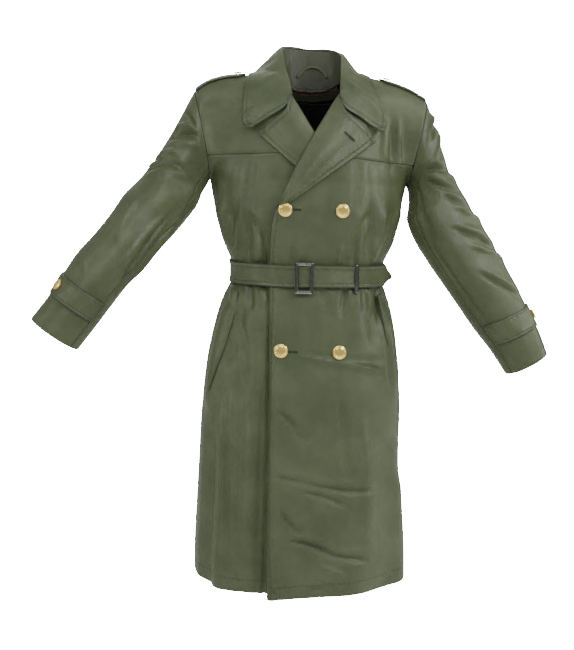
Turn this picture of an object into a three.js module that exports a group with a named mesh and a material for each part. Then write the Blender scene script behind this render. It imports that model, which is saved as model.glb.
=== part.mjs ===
// A double-breasted, belted trench coat, filled out as it is worn.
//
// Millimetres, +Z up. The front faces -Y and the wearer's left is +X. The origin is on the
// centre plane at the level of the neck points, where the wearer's shoulders hold the coat.
//
// Everything hangs on one form, formPoint(face, turn, height): the inner surface of the body.
// `face` is front or back, `turn` runs from -90 (right side) over 0 (centre) to 90 (left side),
// and `height` is millimetres below the armholes when negative, or the share of the way round
// the armhole, from its lowest point to the shoulder tip, when positive.

import * as THREE from 'three';

// ---- driving sizes ----

const CLOTH = 1.8;
const DOUBLE_CLOTH = 2.5;
const GAP = 0.3;
const ARMPIT_Z = -213;
const SQUARENESS = 2.45;
const FLATTENING = { from: -300, to: -117, rise: 174 };
const CHEST_BOW = 2.2;
const ARMHOLE_HOLD = 9;
const ARMHOLE_DEPTH = { front: 76, back: 78 };
const CROWN_POWER = { front: 2.0, back: 2.3 };
const ARMHOLE_TIP = { right: { x: 241, z: -39 }, left: { x: 236, z: -44 } };
const ARMHOLE_LEAN = 1.3;
const NECK_SHARE = 0.31;
const NECK_HALF_WIDTH = 75;
const NECK_SIDE_Z = 5;
const NECK_BACK_Z = -24;
const YOKE_SEAM_Z = { right: { armhole: -168, neck: -159 }, left: { armhole: -179, neck: -164 } };
const OVERLAP_LIFT = 7;
const OVERLAP_HALF_WIDTH = 82;
const OVERLAP_FADE = 70;
const HEM_OPENING = 9;
const HEM_OPENING_START = -560;
const HEM = { level: -1047, sideRise: 11, underDrop: 4, overDrop: 5, overCorner: 8 };
const BELT = { top: -381, bottom: -427, start: 4, buckleX: -13.5, tipRise: 8, tipTurn: 74 };
// Where the belt's second layer climbs over the first, towards the buckle, and lies on it.
const BELT_CLIMB = { under: -66, from: -50, to: -22, over: -10 };
const BUCKLE = { width: 36, height: 63, bar: 7, thick: 3, z: -408 };
const KEEPER = { x: 86, width: 8.5, height: 58, thick: 1.8, depth: 3.4 };
const FRONT_BUTTON = { radius: 14, thick: 5 };
const STRAP_BUTTON = { radius: 11, thick: 4.5 };
const EPAULETTE_BUTTON = { radius: 9, thick: 4 };

// Sections of the body, from the hem up: half widths to each side, depths to front and back.
const BODY_LEVELS = [
  { z: -1060, right: 224, left: 221, front: 159, back: 166 },
  { z: -985, right: 223, left: 218, front: 157, back: 163 },
  { z: -900, right: 221, left: 211, front: 154, back: 160 },
  { z: -830, right: 219, left: 206, front: 151, back: 156 },
  { z: -760, right: 216, left: 204, front: 148, back: 152 },
  { z: -690, right: 212, left: 204, front: 144, back: 147 },
  { z: -627, right: 207, left: 200, front: 140, back: 141 },
  { z: -575, right: 201, left: 194, front: 136, back: 135 },
  { z: -535, right: 194, left: 189, front: 132, back: 129 },
  { z: -499, right: 186, left: 182, front: 128, back: 123 },
  { z: -467, right: 176, left: 173, front: 124, back: 117 },
  { z: -446, right: 167, left: 164, front: 120, back: 112 },
  { z: -427, right: 157, left: 157, front: 117, back: 108 },
  { z: -404, right: 155, left: 155, front: 116, back: 107 },
  { z: -381, right: 157, left: 157, front: 117, back: 108 },
  { z: -345, right: 173, left: 170, front: 122, back: 113 },
  { z: -300, right: 187, left: 182, front: 127, back: 118 },
  { z: -260, right: 197, left: 193, front: 130, back: 122 },
  { z: -213, right: 206, left: 203, front: 131, back: 124 },
];

// The shoulder line, from the centre out, as a share of the way to the armhole's tip.
const SHOULDER_LINE = [
  { share: 0, right: 8, left: 7 },
  { share: 0.31, right: 5, left: 5 },
  { share: 0.56, right: -3, left: -4 },
  { share: 0.7, right: -6, left: -12 },
  { share: 0.84, right: -15, left: -24 },
  { share: 0.94, right: -27, left: -36 },
  { share: 1, right: -39, left: -44 },
];

// Inner edge of each front, hem to neck point: how far it reaches past the centre line
// (negative) or stops short of it (positive), on the wearer's own side.
const FRONT_EDGE = [
  { z: -1060, x: -72 },
  { z: -711, x: -78 },
  { z: -550, x: -80 },
  { z: -330, x: -82 },
  { z: -291, x: -78 },
  { z: -266, x: -70 },
  { z: -248, x: -61 },
  { z: -181, x: -29 },
  { z: -122, x: 3 },
  { z: -51, x: 47 },
  { z: -22, x: 57 },
  { z: -4, x: 69 },
  { z: 5, x: 75 },
];
const BREAK_Z = -264;
const GORGE_Z = -49;

// Large soft folds of the body. Each is a ridge (positive) or trough (negative) centred on
// `turn`, `wide` degrees across, from height z `top` to `bottom`, leaning `lean` degrees.
const BODY_FOLDS = [
  { face: 'front', turn: 74, wide: 12, top: -150, bottom: -372, raise: 6, lean: -4 },
  { face: 'front', turn: 56, wide: 11, top: -200, bottom: -374, raise: -5, lean: 2 },
  { face: 'front', turn: 42, wide: 12, top: -285, bottom: -376, raise: 4, lean: 4 },
  { face: 'front', turn: -70, wide: 12, top: -190, bottom: -374, raise: 5, lean: 3 },
  { face: 'front', turn: -52, wide: 12, top: -220, bottom: -374, raise: -5, lean: 0 },
  { face: 'front', turn: -36, wide: 10, top: -300, bottom: -376, raise: 4, lean: -3 },
  { face: 'front', turn: 60, wide: 14, top: -432, bottom: -640, raise: 5, lean: 6 },
  { face: 'front', turn: 74, wide: 12, top: -432, bottom: -760, raise: -5, lean: 2 },
  { face: 'front', turn: 38, wide: 12, top: -432, bottom: -560, raise: -4, lean: 4 },
  { face: 'front', turn: -62, wide: 14, top: -432, bottom: -700, raise: 5, lean: -4 },
  { face: 'front', turn: -46, wide: 12, top: -432, bottom: -600, raise: -4, lean: -2 },
  { face: 'front', turn: -44, wide: 16, top: -640, bottom: -1100, raise: 6, lean: 2 },
  { face: 'front', turn: -60, wide: 14, top: -700, bottom: -1100, raise: -6, lean: 0 },
  { face: 'front', turn: 52, wide: 18, top: -720, bottom: -1100, raise: -5, lean: -6 },
  { face: 'front', turn: 72, wide: 14, top: -800, bottom: -1100, raise: 5, lean: -2 },
  { face: 'back', turn: -64, wide: 14, top: -180, bottom: -374, raise: 6, lean: 4 },
  { face: 'back', turn: -44, wide: 12, top: -240, bottom: -374, raise: -5, lean: 2 },
  { face: 'back', turn: -18, wide: 12, top: -290, bottom: -376, raise: 5, lean: 0 },
  { face: 'back', turn: 12, wide: 12, top: -270, bottom: -376, raise: -4, lean: 2 },
  { face: 'back', turn: 34, wide: 12, top: -250, bottom: -374, raise: 5, lean: -2 },
  { face: 'back', turn: 60, wide: 13, top: -190, bottom: -374, raise: -5, lean: -4 },
  { face: 'back', turn: -58, wide: 16, top: -432, bottom: -1100, raise: 7, lean: 4 },
  { face: 'back', turn: -34, wide: 14, top: -432, bottom: -1100, raise: -7, lean: 2 },
  { face: 'back', turn: -8, wide: 16, top: -432, bottom: -900, raise: 5, lean: 3 },
  { face: 'back', turn: 18, wide: 14, top: -432, bottom: -1100, raise: -7, lean: -2 },
  { face: 'back', turn: 44, wide: 16, top: -432, bottom: -1100, raise: 7, lean: -4 },
  { face: 'back', turn: 68, wide: 12, top: -432, bottom: -820, raise: -5, lean: -2 },
];

// Sections of each sleeve below its armhole, as seen from the front: the point on the outer
// side, the point on the inner side, how far forward the middle is and half the depth.
const SLEEVE_SECTIONS = {
  right: [
    { outX: 241, outZ: -39, inX: 206, inZ: -213, y: 0, deep: 77 },
    { outX: 263, outZ: -84, inX: 214, inZ: -228, y: -4, deep: 78 },
    { outX: 287, outZ: -129, inX: 224, inZ: -246, y: -12, deep: 78 },
    { outX: 313, outZ: -171, inX: 231, inZ: -264, y: -24, deep: 77 },
    { outX: 341, outZ: -213, inX: 240, inZ: -281, y: -40, deep: 76 },
    { outX: 376, outZ: -250, inX: 270, inZ: -320, y: -57, deep: 74 },
    { outX: 402, outZ: -291, inX: 303, inZ: -357, y: -75, deep: 71 },
    { outX: 432, outZ: -332, inX: 335, inZ: -396, y: -90, deep: 67 },
    { outX: 465, outZ: -371, inX: 370, inZ: -434, y: -105, deep: 62 },
    { outX: 491, outZ: -413, inX: 400, inZ: -474, y: -120, deep: 56 },
    { outX: 517, outZ: -455, inX: 428, inZ: -514, y: -135, deep: 49 },
    { outX: 546, outZ: -497, inX: 458, inZ: -555, y: -150, deep: 42 },
  ],
  left: [
    { outX: 236, outZ: -44, inX: 203, inZ: -213, y: 0, deep: 77 },
    { outX: 255, outZ: -96, inX: 211, inZ: -229, y: -4, deep: 78 },
    { outX: 271, outZ: -144, inX: 211, inZ: -250, y: -12, deep: 78 },
    { outX: 287, outZ: -191, inX: 208, inZ: -272, y: -26, deep: 77 },
    { outX: 313, outZ: -235, inX: 205, inZ: -294, y: -44, deep: 75 },
    { outX: 339, outZ: -279, inX: 220, inZ: -334, y: -60, deep: 73 },
    { outX: 365, outZ: -322, inX: 246, inZ: -376, y: -75, deep: 71 },
    { outX: 390, outZ: -366, inX: 275, inZ: -418, y: -90, deep: 68 },
    { outX: 415, outZ: -410, inX: 304, inZ: -461, y: -105, deep: 63 },
    { outX: 437, outZ: -456, inX: 333, inZ: -503, y: -120, deep: 58 },
    { outX: 458, outZ: -500, inX: 366, inZ: -543, y: -135, deep: 50 },
    { outX: 474, outZ: -545, inX: 397, inZ: -588, y: -150, deep: 43 },
  ],
};

// Large folds of the sleeves: centred `along` (in sections from the armhole) and `round`
// (0 on the outer side, -1 and 1 at the inner side by the front and by the back).
const SLEEVE_FOLDS = {
  right: [
    { along: 2.4, round: -0.62, long: 1.3, wide: 0.22, raise: -6, lean: 0.1 },
    { along: 5.4, round: -0.5, long: 1.0, wide: 0.2, raise: -4, lean: -0.08 },
    { along: 6.6, round: -0.7, long: 1.8, wide: 0.16, raise: 4, lean: 0 },
    { along: 4.2, round: 0.5, long: 1.4, wide: 0.24, raise: -6, lean: -0.1 },
    { along: 6.4, round: 0.66, long: 1.4, wide: 0.2, raise: -5, lean: 0.08 },
  ],
  left: [
    { along: 2.6, round: -0.6, long: 1.3, wide: 0.22, raise: -6, lean: 0.1 },
    { along: 5.0, round: -0.3, long: 0.7, wide: 0.22, raise: -4, lean: -0.2 },
    { along: 6.2, round: -0.3, long: 0.7, wide: 0.22, raise: -4, lean: -0.2 },
    { along: 4.4, round: 0.5, long: 1.4, wide: 0.24, raise: -6, lean: -0.1 },
    { along: 6.6, round: 0.64, long: 1.4, wide: 0.2, raise: -5, lean: 0.08 },
  ],
};
const FRONT_SLEEVE_SEAM = 2;
const BACK_SLEEVE_SEAM = 3;
const STRAP = { top: 8.9, bottom: 9.78, from: { right: -0.77, left: -0.7 }, to: 0.5 };
const STRAP_LIFT = 0.7;
const STRAP_BUTTON_ROUND = { right: -0.18, left: -0.06 };

// Neck seam, centre back (share 0) to gorge (share 1), on the wearer's own side.
const NECK_SEAM = [
  { share: 0, x: 0, z: -24, face: 1 },
  { share: 0.2, x: 32, z: -21, face: 1 },
  { share: 0.4, x: 60, z: -8, face: 1 },
  { share: 0.55, x: 74, z: 3, face: 0 },
  { share: 0.7, x: 68, z: -5, face: -1 },
  { share: 0.85, x: 57, z: -23, face: -1 },
  { share: 1, x: 47, z: -50, face: -1 },
];

// Collar sections from the centre back to the gorge: the top of the roll, the outer edge of
// the leaf, and how far the leaf bows out between them.
const COLLAR_SECTIONS = {
  right: [
    { share: 0, rollX: 0, rollY: 86, rollZ: 67, edgeX: 0, edgeY: 108, edgeZ: -46, bow: 12 },
    { share: 0.13, rollX: 26, rollY: 82, rollZ: 68, edgeX: 44, edgeY: 104, edgeZ: -44, bow: 12 },
    { share: 0.26, rollX: 46, rollY: 68, rollZ: 67, edgeX: 84, edgeY: 90, edgeZ: -34, bow: 11 },
    { share: 0.38, rollX: 58, rollY: 47, rollZ: 63, edgeX: 110, edgeY: 60, edgeZ: -17, bow: 8 },
    { share: 0.5, rollX: 61, rollY: 24, rollZ: 54, edgeX: 121, edgeY: 24, edgeZ: 0, bow: 5 },
    { share: 0.62, rollX: 59, rollY: -4, rollZ: 34, edgeX: 129, edgeY: -18, edgeZ: -9, bow: 6 },
    { share: 0.74, rollX: 55, rollY: -36, rollZ: 6, edgeX: 137, edgeY: -56, edgeZ: -42, bow: 7 },
    { share: 0.86, rollX: 50, rollY: -68, rollZ: -18, edgeX: 142, edgeY: -92, edgeZ: -84, bow: 6 },
    { share: 0.95, rollX: 47, rollY: -86, rollZ: -36, edgeX: 140, edgeY: -104, edgeZ: -107, bow: 4 },
    { share: 1, rollX: 46, rollY: -95, rollZ: -46, edgeX: 130, edgeY: -110, edgeZ: -117, bow: 2 },
  ],
  left: [
    { share: 0, rollX: 0, rollY: 86, rollZ: 67, edgeX: 0, edgeY: 108, edgeZ: -46, bow: 12 },
    { share: 0.13, rollX: 26, rollY: 82, rollZ: 66, edgeX: 42, edgeY: 104, edgeZ: -45, bow: 11 },
    { share: 0.26, rollX: 46, rollY: 68, rollZ: 62, edgeX: 78, edgeY: 90, edgeZ: -38, bow: 8 },
    { share: 0.38, rollX: 58, rollY: 47, rollZ: 54, edgeX: 98, edgeY: 60, edgeZ: -22, bow: 3 },
    { share: 0.5, rollX: 61, rollY: 24, rollZ: 47, edgeX: 104, edgeY: 24, edgeZ: -2, bow: -2 },
    { share: 0.62, rollX: 58, rollY: -4, rollZ: 31, edgeX: 110, edgeY: -18, edgeZ: -8, bow: 0 },
    { share: 0.74, rollX: 55, rollY: -36, rollZ: 6, edgeX: 124, edgeY: -56, edgeZ: -36, bow: 5 },
    { share: 0.86, rollX: 53, rollY: -68, rollZ: -18, edgeX: 140, edgeY: -92, edgeZ: -74, bow: 6 },
    { share: 0.95, rollX: 51, rollY: -88, rollZ: -36, edgeX: 143, edgeY: -104, edgeZ: -100, bow: 4 },
    { share: 1, rollX: 50, rollY: -98, rollZ: -46, edgeX: 136, edgeY: -112, edgeZ: -117, bow: 2 },
  ],
};
const NOTCH = { x: 58, z: -75 };
const LAPEL_TIP = { right: { x: 112, z: -124 }, left: { x: 124, z: -132 } };
const LAPEL_FOOT = { x: -44, z: -256 };
const COLLAR_ROLL = 4;
const STAND_SHARE = 0.8;
const STAND_REACH = 0.78;
const LEAF_CLEARANCE = 2;
const LEAF_SOFTNESS = 2.4;

const COLOURS = {
  cloth: 0x5a6150,
  yoke: 0x5d6451,
  lapel: 0x626750,
  sleeve: 0x596050,
  lining: 0x0d0d0e,
  tape: 0x3d3429,
  facing: 0x474b3e,
  gold: 0xe0c88f,
  steel: 0x3c3f37,
};

// ---- small helpers ----

const { clamp, lerp, smoothstep, degToRad } = THREE.MathUtils;

function vector(x, y, z) {
  return new THREE.Vector3(x, y, z);
}

function sign(side) {
  return side === 'left' ? 1 : -1;
}

function steps(count, from = 0, to = 1) {
  return Array.from({ length: count + 1 }, (_, i) => lerp(from, to, i / count));
}

// Smooth reading of one column of a table whose rows rise along `axis`.
function read(table, axis, at, column) {
  const last = table.length - 1;
  const place = clamp(at, table[0][axis], table[last][axis]);
  let i = 0;
  while (i < last - 1 && table[i + 1][axis] < place) i += 1;
  const slope = (k) => {
    const a = table[Math.max(k - 1, 0)];
    const b = table[Math.min(k + 1, last)];
    return (b[column] - a[column]) / (b[axis] - a[axis]);
  };
  const span = table[i + 1][axis] - table[i][axis];
  const u = (place - table[i][axis]) / span;
  const start = table[i][column];
  const end = table[i + 1][column];
  const rise = end - start;
  const startBend = (1 - u) * (slope(i) * span - rise);
  const endBend = u * (slope(i + 1) * span - rise);
  return lerp(start, end, u) + u * (1 - u) * (startBend - endBend);
}

// Straight-line reading, for edges with corners.
function readStraight(table, axis, at, column) {
  const last = table.length - 1;
  const place = clamp(at, table[0][axis], table[last][axis]);
  let i = 0;
  while (i < last - 1 && table[i + 1][axis] < place) i += 1;
  const u = (place - table[i][axis]) / (table[i + 1][axis] - table[i][axis]);
  return lerp(table[i][column], table[i + 1][column], u);
}

// The value between low and high where a rising test turns from negative to positive.
function solve(test, low, high) {
  let a = low;
  let b = high;
  for (let i = 0; i < 40; i += 1) {
    const middle = (a + b) / 2;
    if (test(middle) < 0) a = middle;
    else b = middle;
  }
  return (a + b) / 2;
}

function bump(offset, width) {
  const reach = Math.abs(offset) / width;
  return reach < 1 ? (0.5 + 0.5 * Math.cos(Math.PI * reach)) : 0;
}

// ---- the body's form ----

function climbAt(height) {
  return (1 - Math.cos(Math.PI * Math.max(height, 0))) / 2;
}

function halfWidthAt(side, height) {
  const half = read(BODY_LEVELS, 'z', ARMPIT_Z + Math.min(height, 0), side);
  return half + (ARMHOLE_TIP[side].x - half) * climbAt(height) ** ARMHOLE_LEAN;
}

// How far the round section of the waist has turned into the flatter one of the chest.
function flatAt(height) {
  const level = ARMPIT_Z + Math.min(height, 0) + FLATTENING.rise * climbAt(height);
  return smoothstep(level, FLATTENING.from, FLATTENING.to);
}

// Share of the half width that a turn reaches, and back again.
function shareAt(turn, height) {
  const flat = flatAt(height);
  const part = Math.abs(turn) / 90;
  return lerp(Math.sin(degToRad(Math.abs(turn))) ** (2 / SQUARENESS), part, flat);
}

function turnAt(share, height) {
  return solve((turn) => shareAt(turn, height) - Math.min(Math.abs(share), 1), 0, 90);
}

function foldAt(face, turn, z) {
  return BODY_FOLDS.filter((fold) => fold.face === face).reduce((sum, fold) => {
    const middle = fold.turn + fold.lean * ((z - fold.top) / (fold.bottom - fold.top));
    const inside = smoothstep(fold.top - z, 0, 60) * smoothstep(z - fold.bottom, 0, 40);
    return sum + fold.raise * bump(turn - middle, fold.wide) * inside;
  }, 0);
}

function formPoint(face, turn, height) {
  const side = turn < 0 ? 'right' : 'left';
  const share = shareAt(turn, height);
  const climb = climbAt(height);
  const level = ARMPIT_Z + Math.min(height, 0);
  const ridge = read(SHOULDER_LINE, 'share', share, side);
  const z = height > 0 ? lerp(ARMPIT_Z, ridge, climb) : level;
  const crown = read(BODY_LEVELS, 'z', level, face) * Math.sqrt(1 - climb ** CROWN_POWER[face]);
  const arm = height > 0 ? ARMHOLE_DEPTH[face] * Math.sin(Math.PI * height) : 0;
  const round = (1 - Math.min(share, 1) ** SQUARENESS) ** (1 / SQUARENESS);
  const flat = flatAt(height);
  const bow = lerp(round, 1 - share ** CHEST_BOW, flat);
  const nearArm = lerp(Math.min(share, 1) ** ARMHOLE_HOLD, 1 - bow, smoothstep(climb, 0, 1));
  const depth = crown * bow + arm * nearArm;
  const swell = 1 + foldAt(face, turn, z) / 135;
  const x = sign(side) * share * halfWidthAt(side, height);
  return vector(x * swell, (face === 'front' ? -1 : 1) * depth * swell, z);
}

// Just above the armpit, where heights start to count the share of the climb to the shoulder.
const ARMPIT_HEIGHT = 0.0001;

function formNormal(face, turn, height) {
  const turnStep = 1.2;
  const heightStep = height > 0 ? 0.012 : 3;
  const left = formPoint(face, Math.max(turn - turnStep, -90), height);
  const right = formPoint(face, Math.min(turn + turnStep, 90), height);
  const lowest = height > 0 ? ARMPIT_HEIGHT : -Infinity;
  const highest = height > 0 ? 1 : 0;
  const below = formPoint(face, turn, Math.max(height - heightStep, lowest));
  const above = formPoint(face, turn, Math.min(height + heightStep, highest));
  const normal = right.sub(left).cross(above.sub(below)).normalize();
  return face === 'front' ? normal : normal.negate();
}

function onForm(face, turn, height, lift) {
  return formPoint(face, turn, height).addScaledVector(formNormal(face, turn, height), lift);
}

// Normal of the cloth at the armhole's edge, turned square to the sleeve's direction.
function rimNormal(face, turn, height) {
  const normal = formNormal(face, turn, height);
  normal.x *= 1 - 0.9 * smoothstep(height, 0.02, 0.2);
  return normal.normalize();
}

// Turn and height of the point of the form that lies at x and z on one face.
function locate(face, x, z) {
  const side = x < 0 ? 'right' : 'left';
  const share = (height) => Math.min(Math.abs(x) / halfWidthAt(side, height), 1);
  const shoulder = (height) => read(SHOULDER_LINE, 'share', share(height), side);
  const level = (height) => lerp(ARMPIT_Z, shoulder(height), climbAt(height));
  const height = z <= ARMPIT_Z ? z - ARMPIT_Z : solve((h) => level(h) - z, 0, 1);
  return { turn: sign(side) * turnAt(share(height), height), height };
}

// How far the fronts stand off the form where they overlap, wider open towards the hem.
function frontLift(side, x, z) {
  if (side === 'right') return 0;
  const fade = 1 - smoothstep(x, OVERLAP_HALF_WIDTH, OVERLAP_HALF_WIDTH + OVERLAP_FADE);
  const shoulderFade = 1 - smoothstep(z, -100, -30) * smoothstep(x, 20, 60);
  const opening = HEM_OPENING * smoothstep(HEM_OPENING_START - z, 0, 480) * (1 - smoothstep(x, -70, 40));
  return (OVERLAP_LIFT * fade * shoulderFade) + opening;
}

// Lift of whatever lies on top of the outer cloth at a point of the front: it steps down
// gently from the over front's edge to the under front.
function topLift(x, z) {
  const step = OVERLAP_LIFT * (1 - smoothstep(-x, OVERLAP_HALF_WIDTH + 6, OVERLAP_HALF_WIDTH + 55));
  return (x > -OVERLAP_HALF_WIDTH - 3 ? frontLift('left', x, z) : step) + CLOTH + GAP;
}

// ---- solids ----

function triangles(list) {
  const geometry = new THREE.BufferGeometry();
  const numbers = list.flatMap((p) => [p.x, p.y, p.z]);
  geometry.setAttribute('position', new THREE.Float32BufferAttribute(numbers, 3));
  return geometry;
}

function volume(list) {
  let sum = 0;
  for (let i = 0; i < list.length; i += 3) sum += list[i].dot(list[i + 1].clone().cross(list[i + 2]));
  return sum / 6;
}

// A closed wall between two grids of points with the same rows and columns.
function wall(inner, outer, wrapped = false) {
  const list = [];
  const quad = (a, b, c, d) => list.push(a, b, c, a, c, d);
  const rows = inner.length;
  const columns = inner[0].length;
  const spans = wrapped ? columns : columns - 1;
  for (let i = 0; i < rows - 1; i += 1) {
    for (let j = 0; j < spans; j += 1) {
      const k = (j + 1) % columns;
      quad(outer[i][j], outer[i][k], outer[i + 1][k], outer[i + 1][j]);
      quad(inner[i][j], inner[i + 1][j], inner[i + 1][k], inner[i][k]);
    }
  }
  for (let j = 0; j < spans; j += 1) {
    const k = (j + 1) % columns;
    quad(inner[0][j], inner[0][k], outer[0][k], outer[0][j]);
    quad(inner[rows - 1][k], inner[rows - 1][j], outer[rows - 1][j], outer[rows - 1][k]);
  }
  for (let i = 0; i < rows - 1 && !wrapped; i += 1) {
    quad(outer[i][0], outer[i + 1][0], inner[i + 1][0], inner[i][0]);
    const end = columns - 1;
    quad(outer[i + 1][end], outer[i][end], inner[i][end], inner[i + 1][end]);
  }
  if (volume(list) < 0) {
    for (let i = 0; i < list.length; i += 3) [list[i], list[i + 1]] = [list[i + 1], list[i]];
  }
  return triangles(list);
}

// A wall on the form: place(i, j) gives face, turn, height and lift for each grid point.
function formWall(rows, columns, thick, place) {
  const grid = (extra) => steps(rows).map((_, i) => steps(columns).map((__, j) => {
    const { face, turn, height, lift } = place(i, j);
    return onForm(face, turn, height, lift + extra);
  }));
  return wall(grid(0), grid(thick));
}

function gridNormal(grid, i, j, wrapped) {
  const rows = grid.length;
  const columns = grid[0].length;
  const before = wrapped ? (j + columns - 1) % columns : Math.max(j - 1, 0);
  const after = wrapped ? (j + 1) % columns : Math.min(j + 1, columns - 1);
  const across = grid[i][after].clone().sub(grid[i][before]);
  const along = grid[Math.min(i + 1, rows - 1)][j].clone().sub(grid[Math.max(i - 1, 0)][j]);
  return across.cross(along).normalize();
}

function offsetGrid(grid, distance, wrapped = false) {
  return grid.map((row, i) => row.map((p, j) => {
    const normal = gridNormal(grid, i, j, wrapped);
    return p.clone().addScaledVector(normal, distance);
  }));
}

// A wall of even thickness about a grid of middle points.
function sheetWall(grid, thick, wrapped = false) {
  return wall(offsetGrid(grid, -thick / 2, wrapped), offsetGrid(grid, thick / 2, wrapped), wrapped);
}

const coat = new THREE.Group();

function add(name, geometry, colour, metalness = 0, roughness = 0.8) {
  const material = new THREE.MeshStandardMaterial({ color: colour, metalness, roughness });
  const mesh = new THREE.Mesh(geometry, material);
  mesh.name = name;
  coat.add(mesh);
  return mesh;
}

// ---- rows of the body panels ----

const SKIRT_ROWS = [-970, -880, -790, -705, -630, -565, -505, -460, -428];
const WAIST_ROWS = [-404, -380, -350, -310, -260];
const BODY_ROWS = [...SKIRT_ROWS, ...WAIST_ROWS, ARMPIT_Z].map((z) => z - ARMPIT_Z);

// The hem rises a little at the sides and dips at the over front's corner.
function hemHeight(face, turn, side) {
  const middle = Math.cos(degToRad(turn)) ** 2;
  const rise = HEM.sideRise * smoothstep(Math.abs(turn), 60, 90);
  if (face === 'back') return HEM.level + rise - ARMPIT_Z;
  const corner = HEM.overCorner * smoothstep(-turn, -10, 22);
  const drop = side === 'right' ? HEM.underDrop : HEM.overDrop + corner;
  return HEM.level + rise - drop * middle - ARMPIT_Z;
}

function yokeHeight(turn) {
  const side = turn < 0 ? 'right' : 'left';
  const seam = YOKE_SEAM_Z[side];
  return solve((h) => {
    const p = formPoint('front', turn, h);
    return p.z - lerp(seam.neck, seam.armhole, clamp(Math.abs(p.x) / 210, 0, 1));
  }, 0.01, 0.9);
}

function neckHeight(turn) {
  const neckZ = (x) => lerp(NECK_BACK_Z, NECK_SIDE_Z, (Math.abs(x) / NECK_HALF_WIDTH) ** 2.6);
  if (shareAt(turn, 1) >= NECK_SHARE) return 1;
  return solve((h) => {
    const p = formPoint('back', turn, h);
    return p.z - neckZ(p.x);
  }, 0.3, 1);
}

// Heights of the armhole's vertices, shared by the body panels and the sleeve.
function armholeHeights(side, face) {
  if (face === 'back') return steps(9);
  const yoke = yokeHeight(sign(side) * 90);
  return [...steps(3, 0, yoke), ...steps(6, yoke, 1).slice(1)];
}

// Turn and height where the inner edge of a front meets a given row.
function edgePlace(side, target) {
  const place = (z) => locate('front', sign(side) * readStraight(FRONT_EDGE, 'z', z, 'x'), z);
  const z = solve((level) => {
    const at = place(level);
    return at.height - target(at.turn);
  }, FRONT_EDGE[0].z, NECK_SIDE_Z - 0.01);
  return place(z);
}

const FRONT_COLUMNS = 12;
const SEAM_TURN = 89.93;
const ARMHOLE_MITRE = 2.2;

// The wall's outer corner drops round the underarm, to leave room for the sleeve.
function dropAtArmhole(height) {
  return CLOTH * ARMHOLE_MITRE * Math.max(Math.cos(Math.PI * Math.max(height, 0)), 0) ** 3;
}

// Inner and outer grids of a body panel from rows of {face, turn, height} with a lift.
function panelWall(rows, liftOf) {
  const inner = [];
  const outer = [];
  rows.forEach((row) => {
    inner.push([]);
    outer.push([]);
    row.forEach(({ face, turn, height }) => {
      const base = formPoint(face, turn, height);
      const atRim = height >= 0 && Math.abs(turn) > 89.5;
      const normal = atRim ? rimNormal(face, turn, height) : formNormal(face, turn, height);
      const lift = liftOf(base.x, base.z);
      const inside = base.clone().addScaledVector(normal, lift);
      const outside = inside.clone().addScaledVector(normal, CLOTH);
      if (atRim) outside.z -= dropAtArmhole(height);
      if (height > 0.999) {
        const half = (face === 'front' ? -1 : 1) * (GAP / 2);
        inside.y = half;
        outside.y = half;
      }
      inner[inner.length - 1].push(inside);
      outer[outer.length - 1].push(outside);
    });
  });
  return wall(inner, outer);
}

function frontRow(side, heightOf) {
  const edge = edgePlace(side, heightOf);
  const start = sign(side) * SEAM_TURN;
  return steps(FRONT_COLUMNS, start, edge.turn)
    .map((turn) => ({ face: 'front', turn, height: heightOf(turn) }));
}

function addFront(side) {
  const heights = armholeHeights(side, 'front');
  const rows = [frontRow(side, (turn) => hemHeight('front', turn, side))];
  BODY_ROWS.forEach((height) => rows.push(frontRow(side, () => height)));
  const yokeAtArmhole = heights[3];
  const seam = 0.0006;
  heights.slice(1, 4).forEach((height) => {
    const share = height / yokeAtArmhole;
    const inset = share === 1 ? seam : 0;
    rows.push(frontRow(side, (turn) => yokeHeight(turn) * share - inset));
  });
  add(`front_${side}`, panelWall(rows, (x, z) => frontLift(side, x, z)), COLOURS.cloth);
  const yokeRows = steps(6).map((share, i) => {
    const inset = i === 0 ? seam : 0;
    return frontRow(side, (turn) => lerp(yokeHeight(turn), 1, share) + inset);
  });
  add(`yoke_${side}`, panelWall(yokeRows, (x, z) => frontLift(side, x, z)), COLOURS.yoke);
}

const BACK_COLUMNS = 22;

function backRow(heightOf, columns = BACK_COLUMNS, reach = SEAM_TURN) {
  return steps(columns, -reach, reach).map((turn) => ({ face: 'back', turn, height: heightOf(turn) }));
}

function addBack() {
  const rows = [backRow((turn) => hemHeight('back', turn))];
  BODY_ROWS.forEach((height) => rows.push(backRow(() => height)));
  armholeHeights('left', 'back').slice(1).forEach((share) => {
    rows.push(backRow((turn) => neckHeight(turn) * share));
  });
  add('back', panelWall(rows, () => 0), COLOURS.cloth);
}

// ---- inside the back: tape, facing, lining and hanging loop ----

const NECK_TAPE_DEPTH = 9;
const FACING_DEPTH = 21;
const LINING_ROWS = [-330, -290, -250, ARMPIT_Z];
const LINING_SLACK = { low: 10, high: 5.4 };
const LINING_REACH = 83;
const STRIP_SLACK = 3.8;

// A point of the back below the neck seam: `share` -1 to 1 across, `down` millimetres.
function belowNeck(share, down) {
  const x = NECK_HALF_WIDTH * 0.74 * share;
  const seamZ = lerp(NECK_BACK_Z, NECK_SIDE_Z, Math.abs(x / NECK_HALF_WIDTH) ** 2.6);
  return locate('back', x * (1 + down / 90), seamZ - down);
}

function addNeckStrip(name, from, to, colour) {
  const columns = 14;
  add(name, formWall(1, columns, CLOTH - GAP, (i, j) => ({
    face: 'back',
    ...belowNeck(lerp(-1, 1, j / columns), i === 0 ? from : to),
    lift: -CLOTH - STRIP_SLACK,
  })), colour);
}

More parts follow.
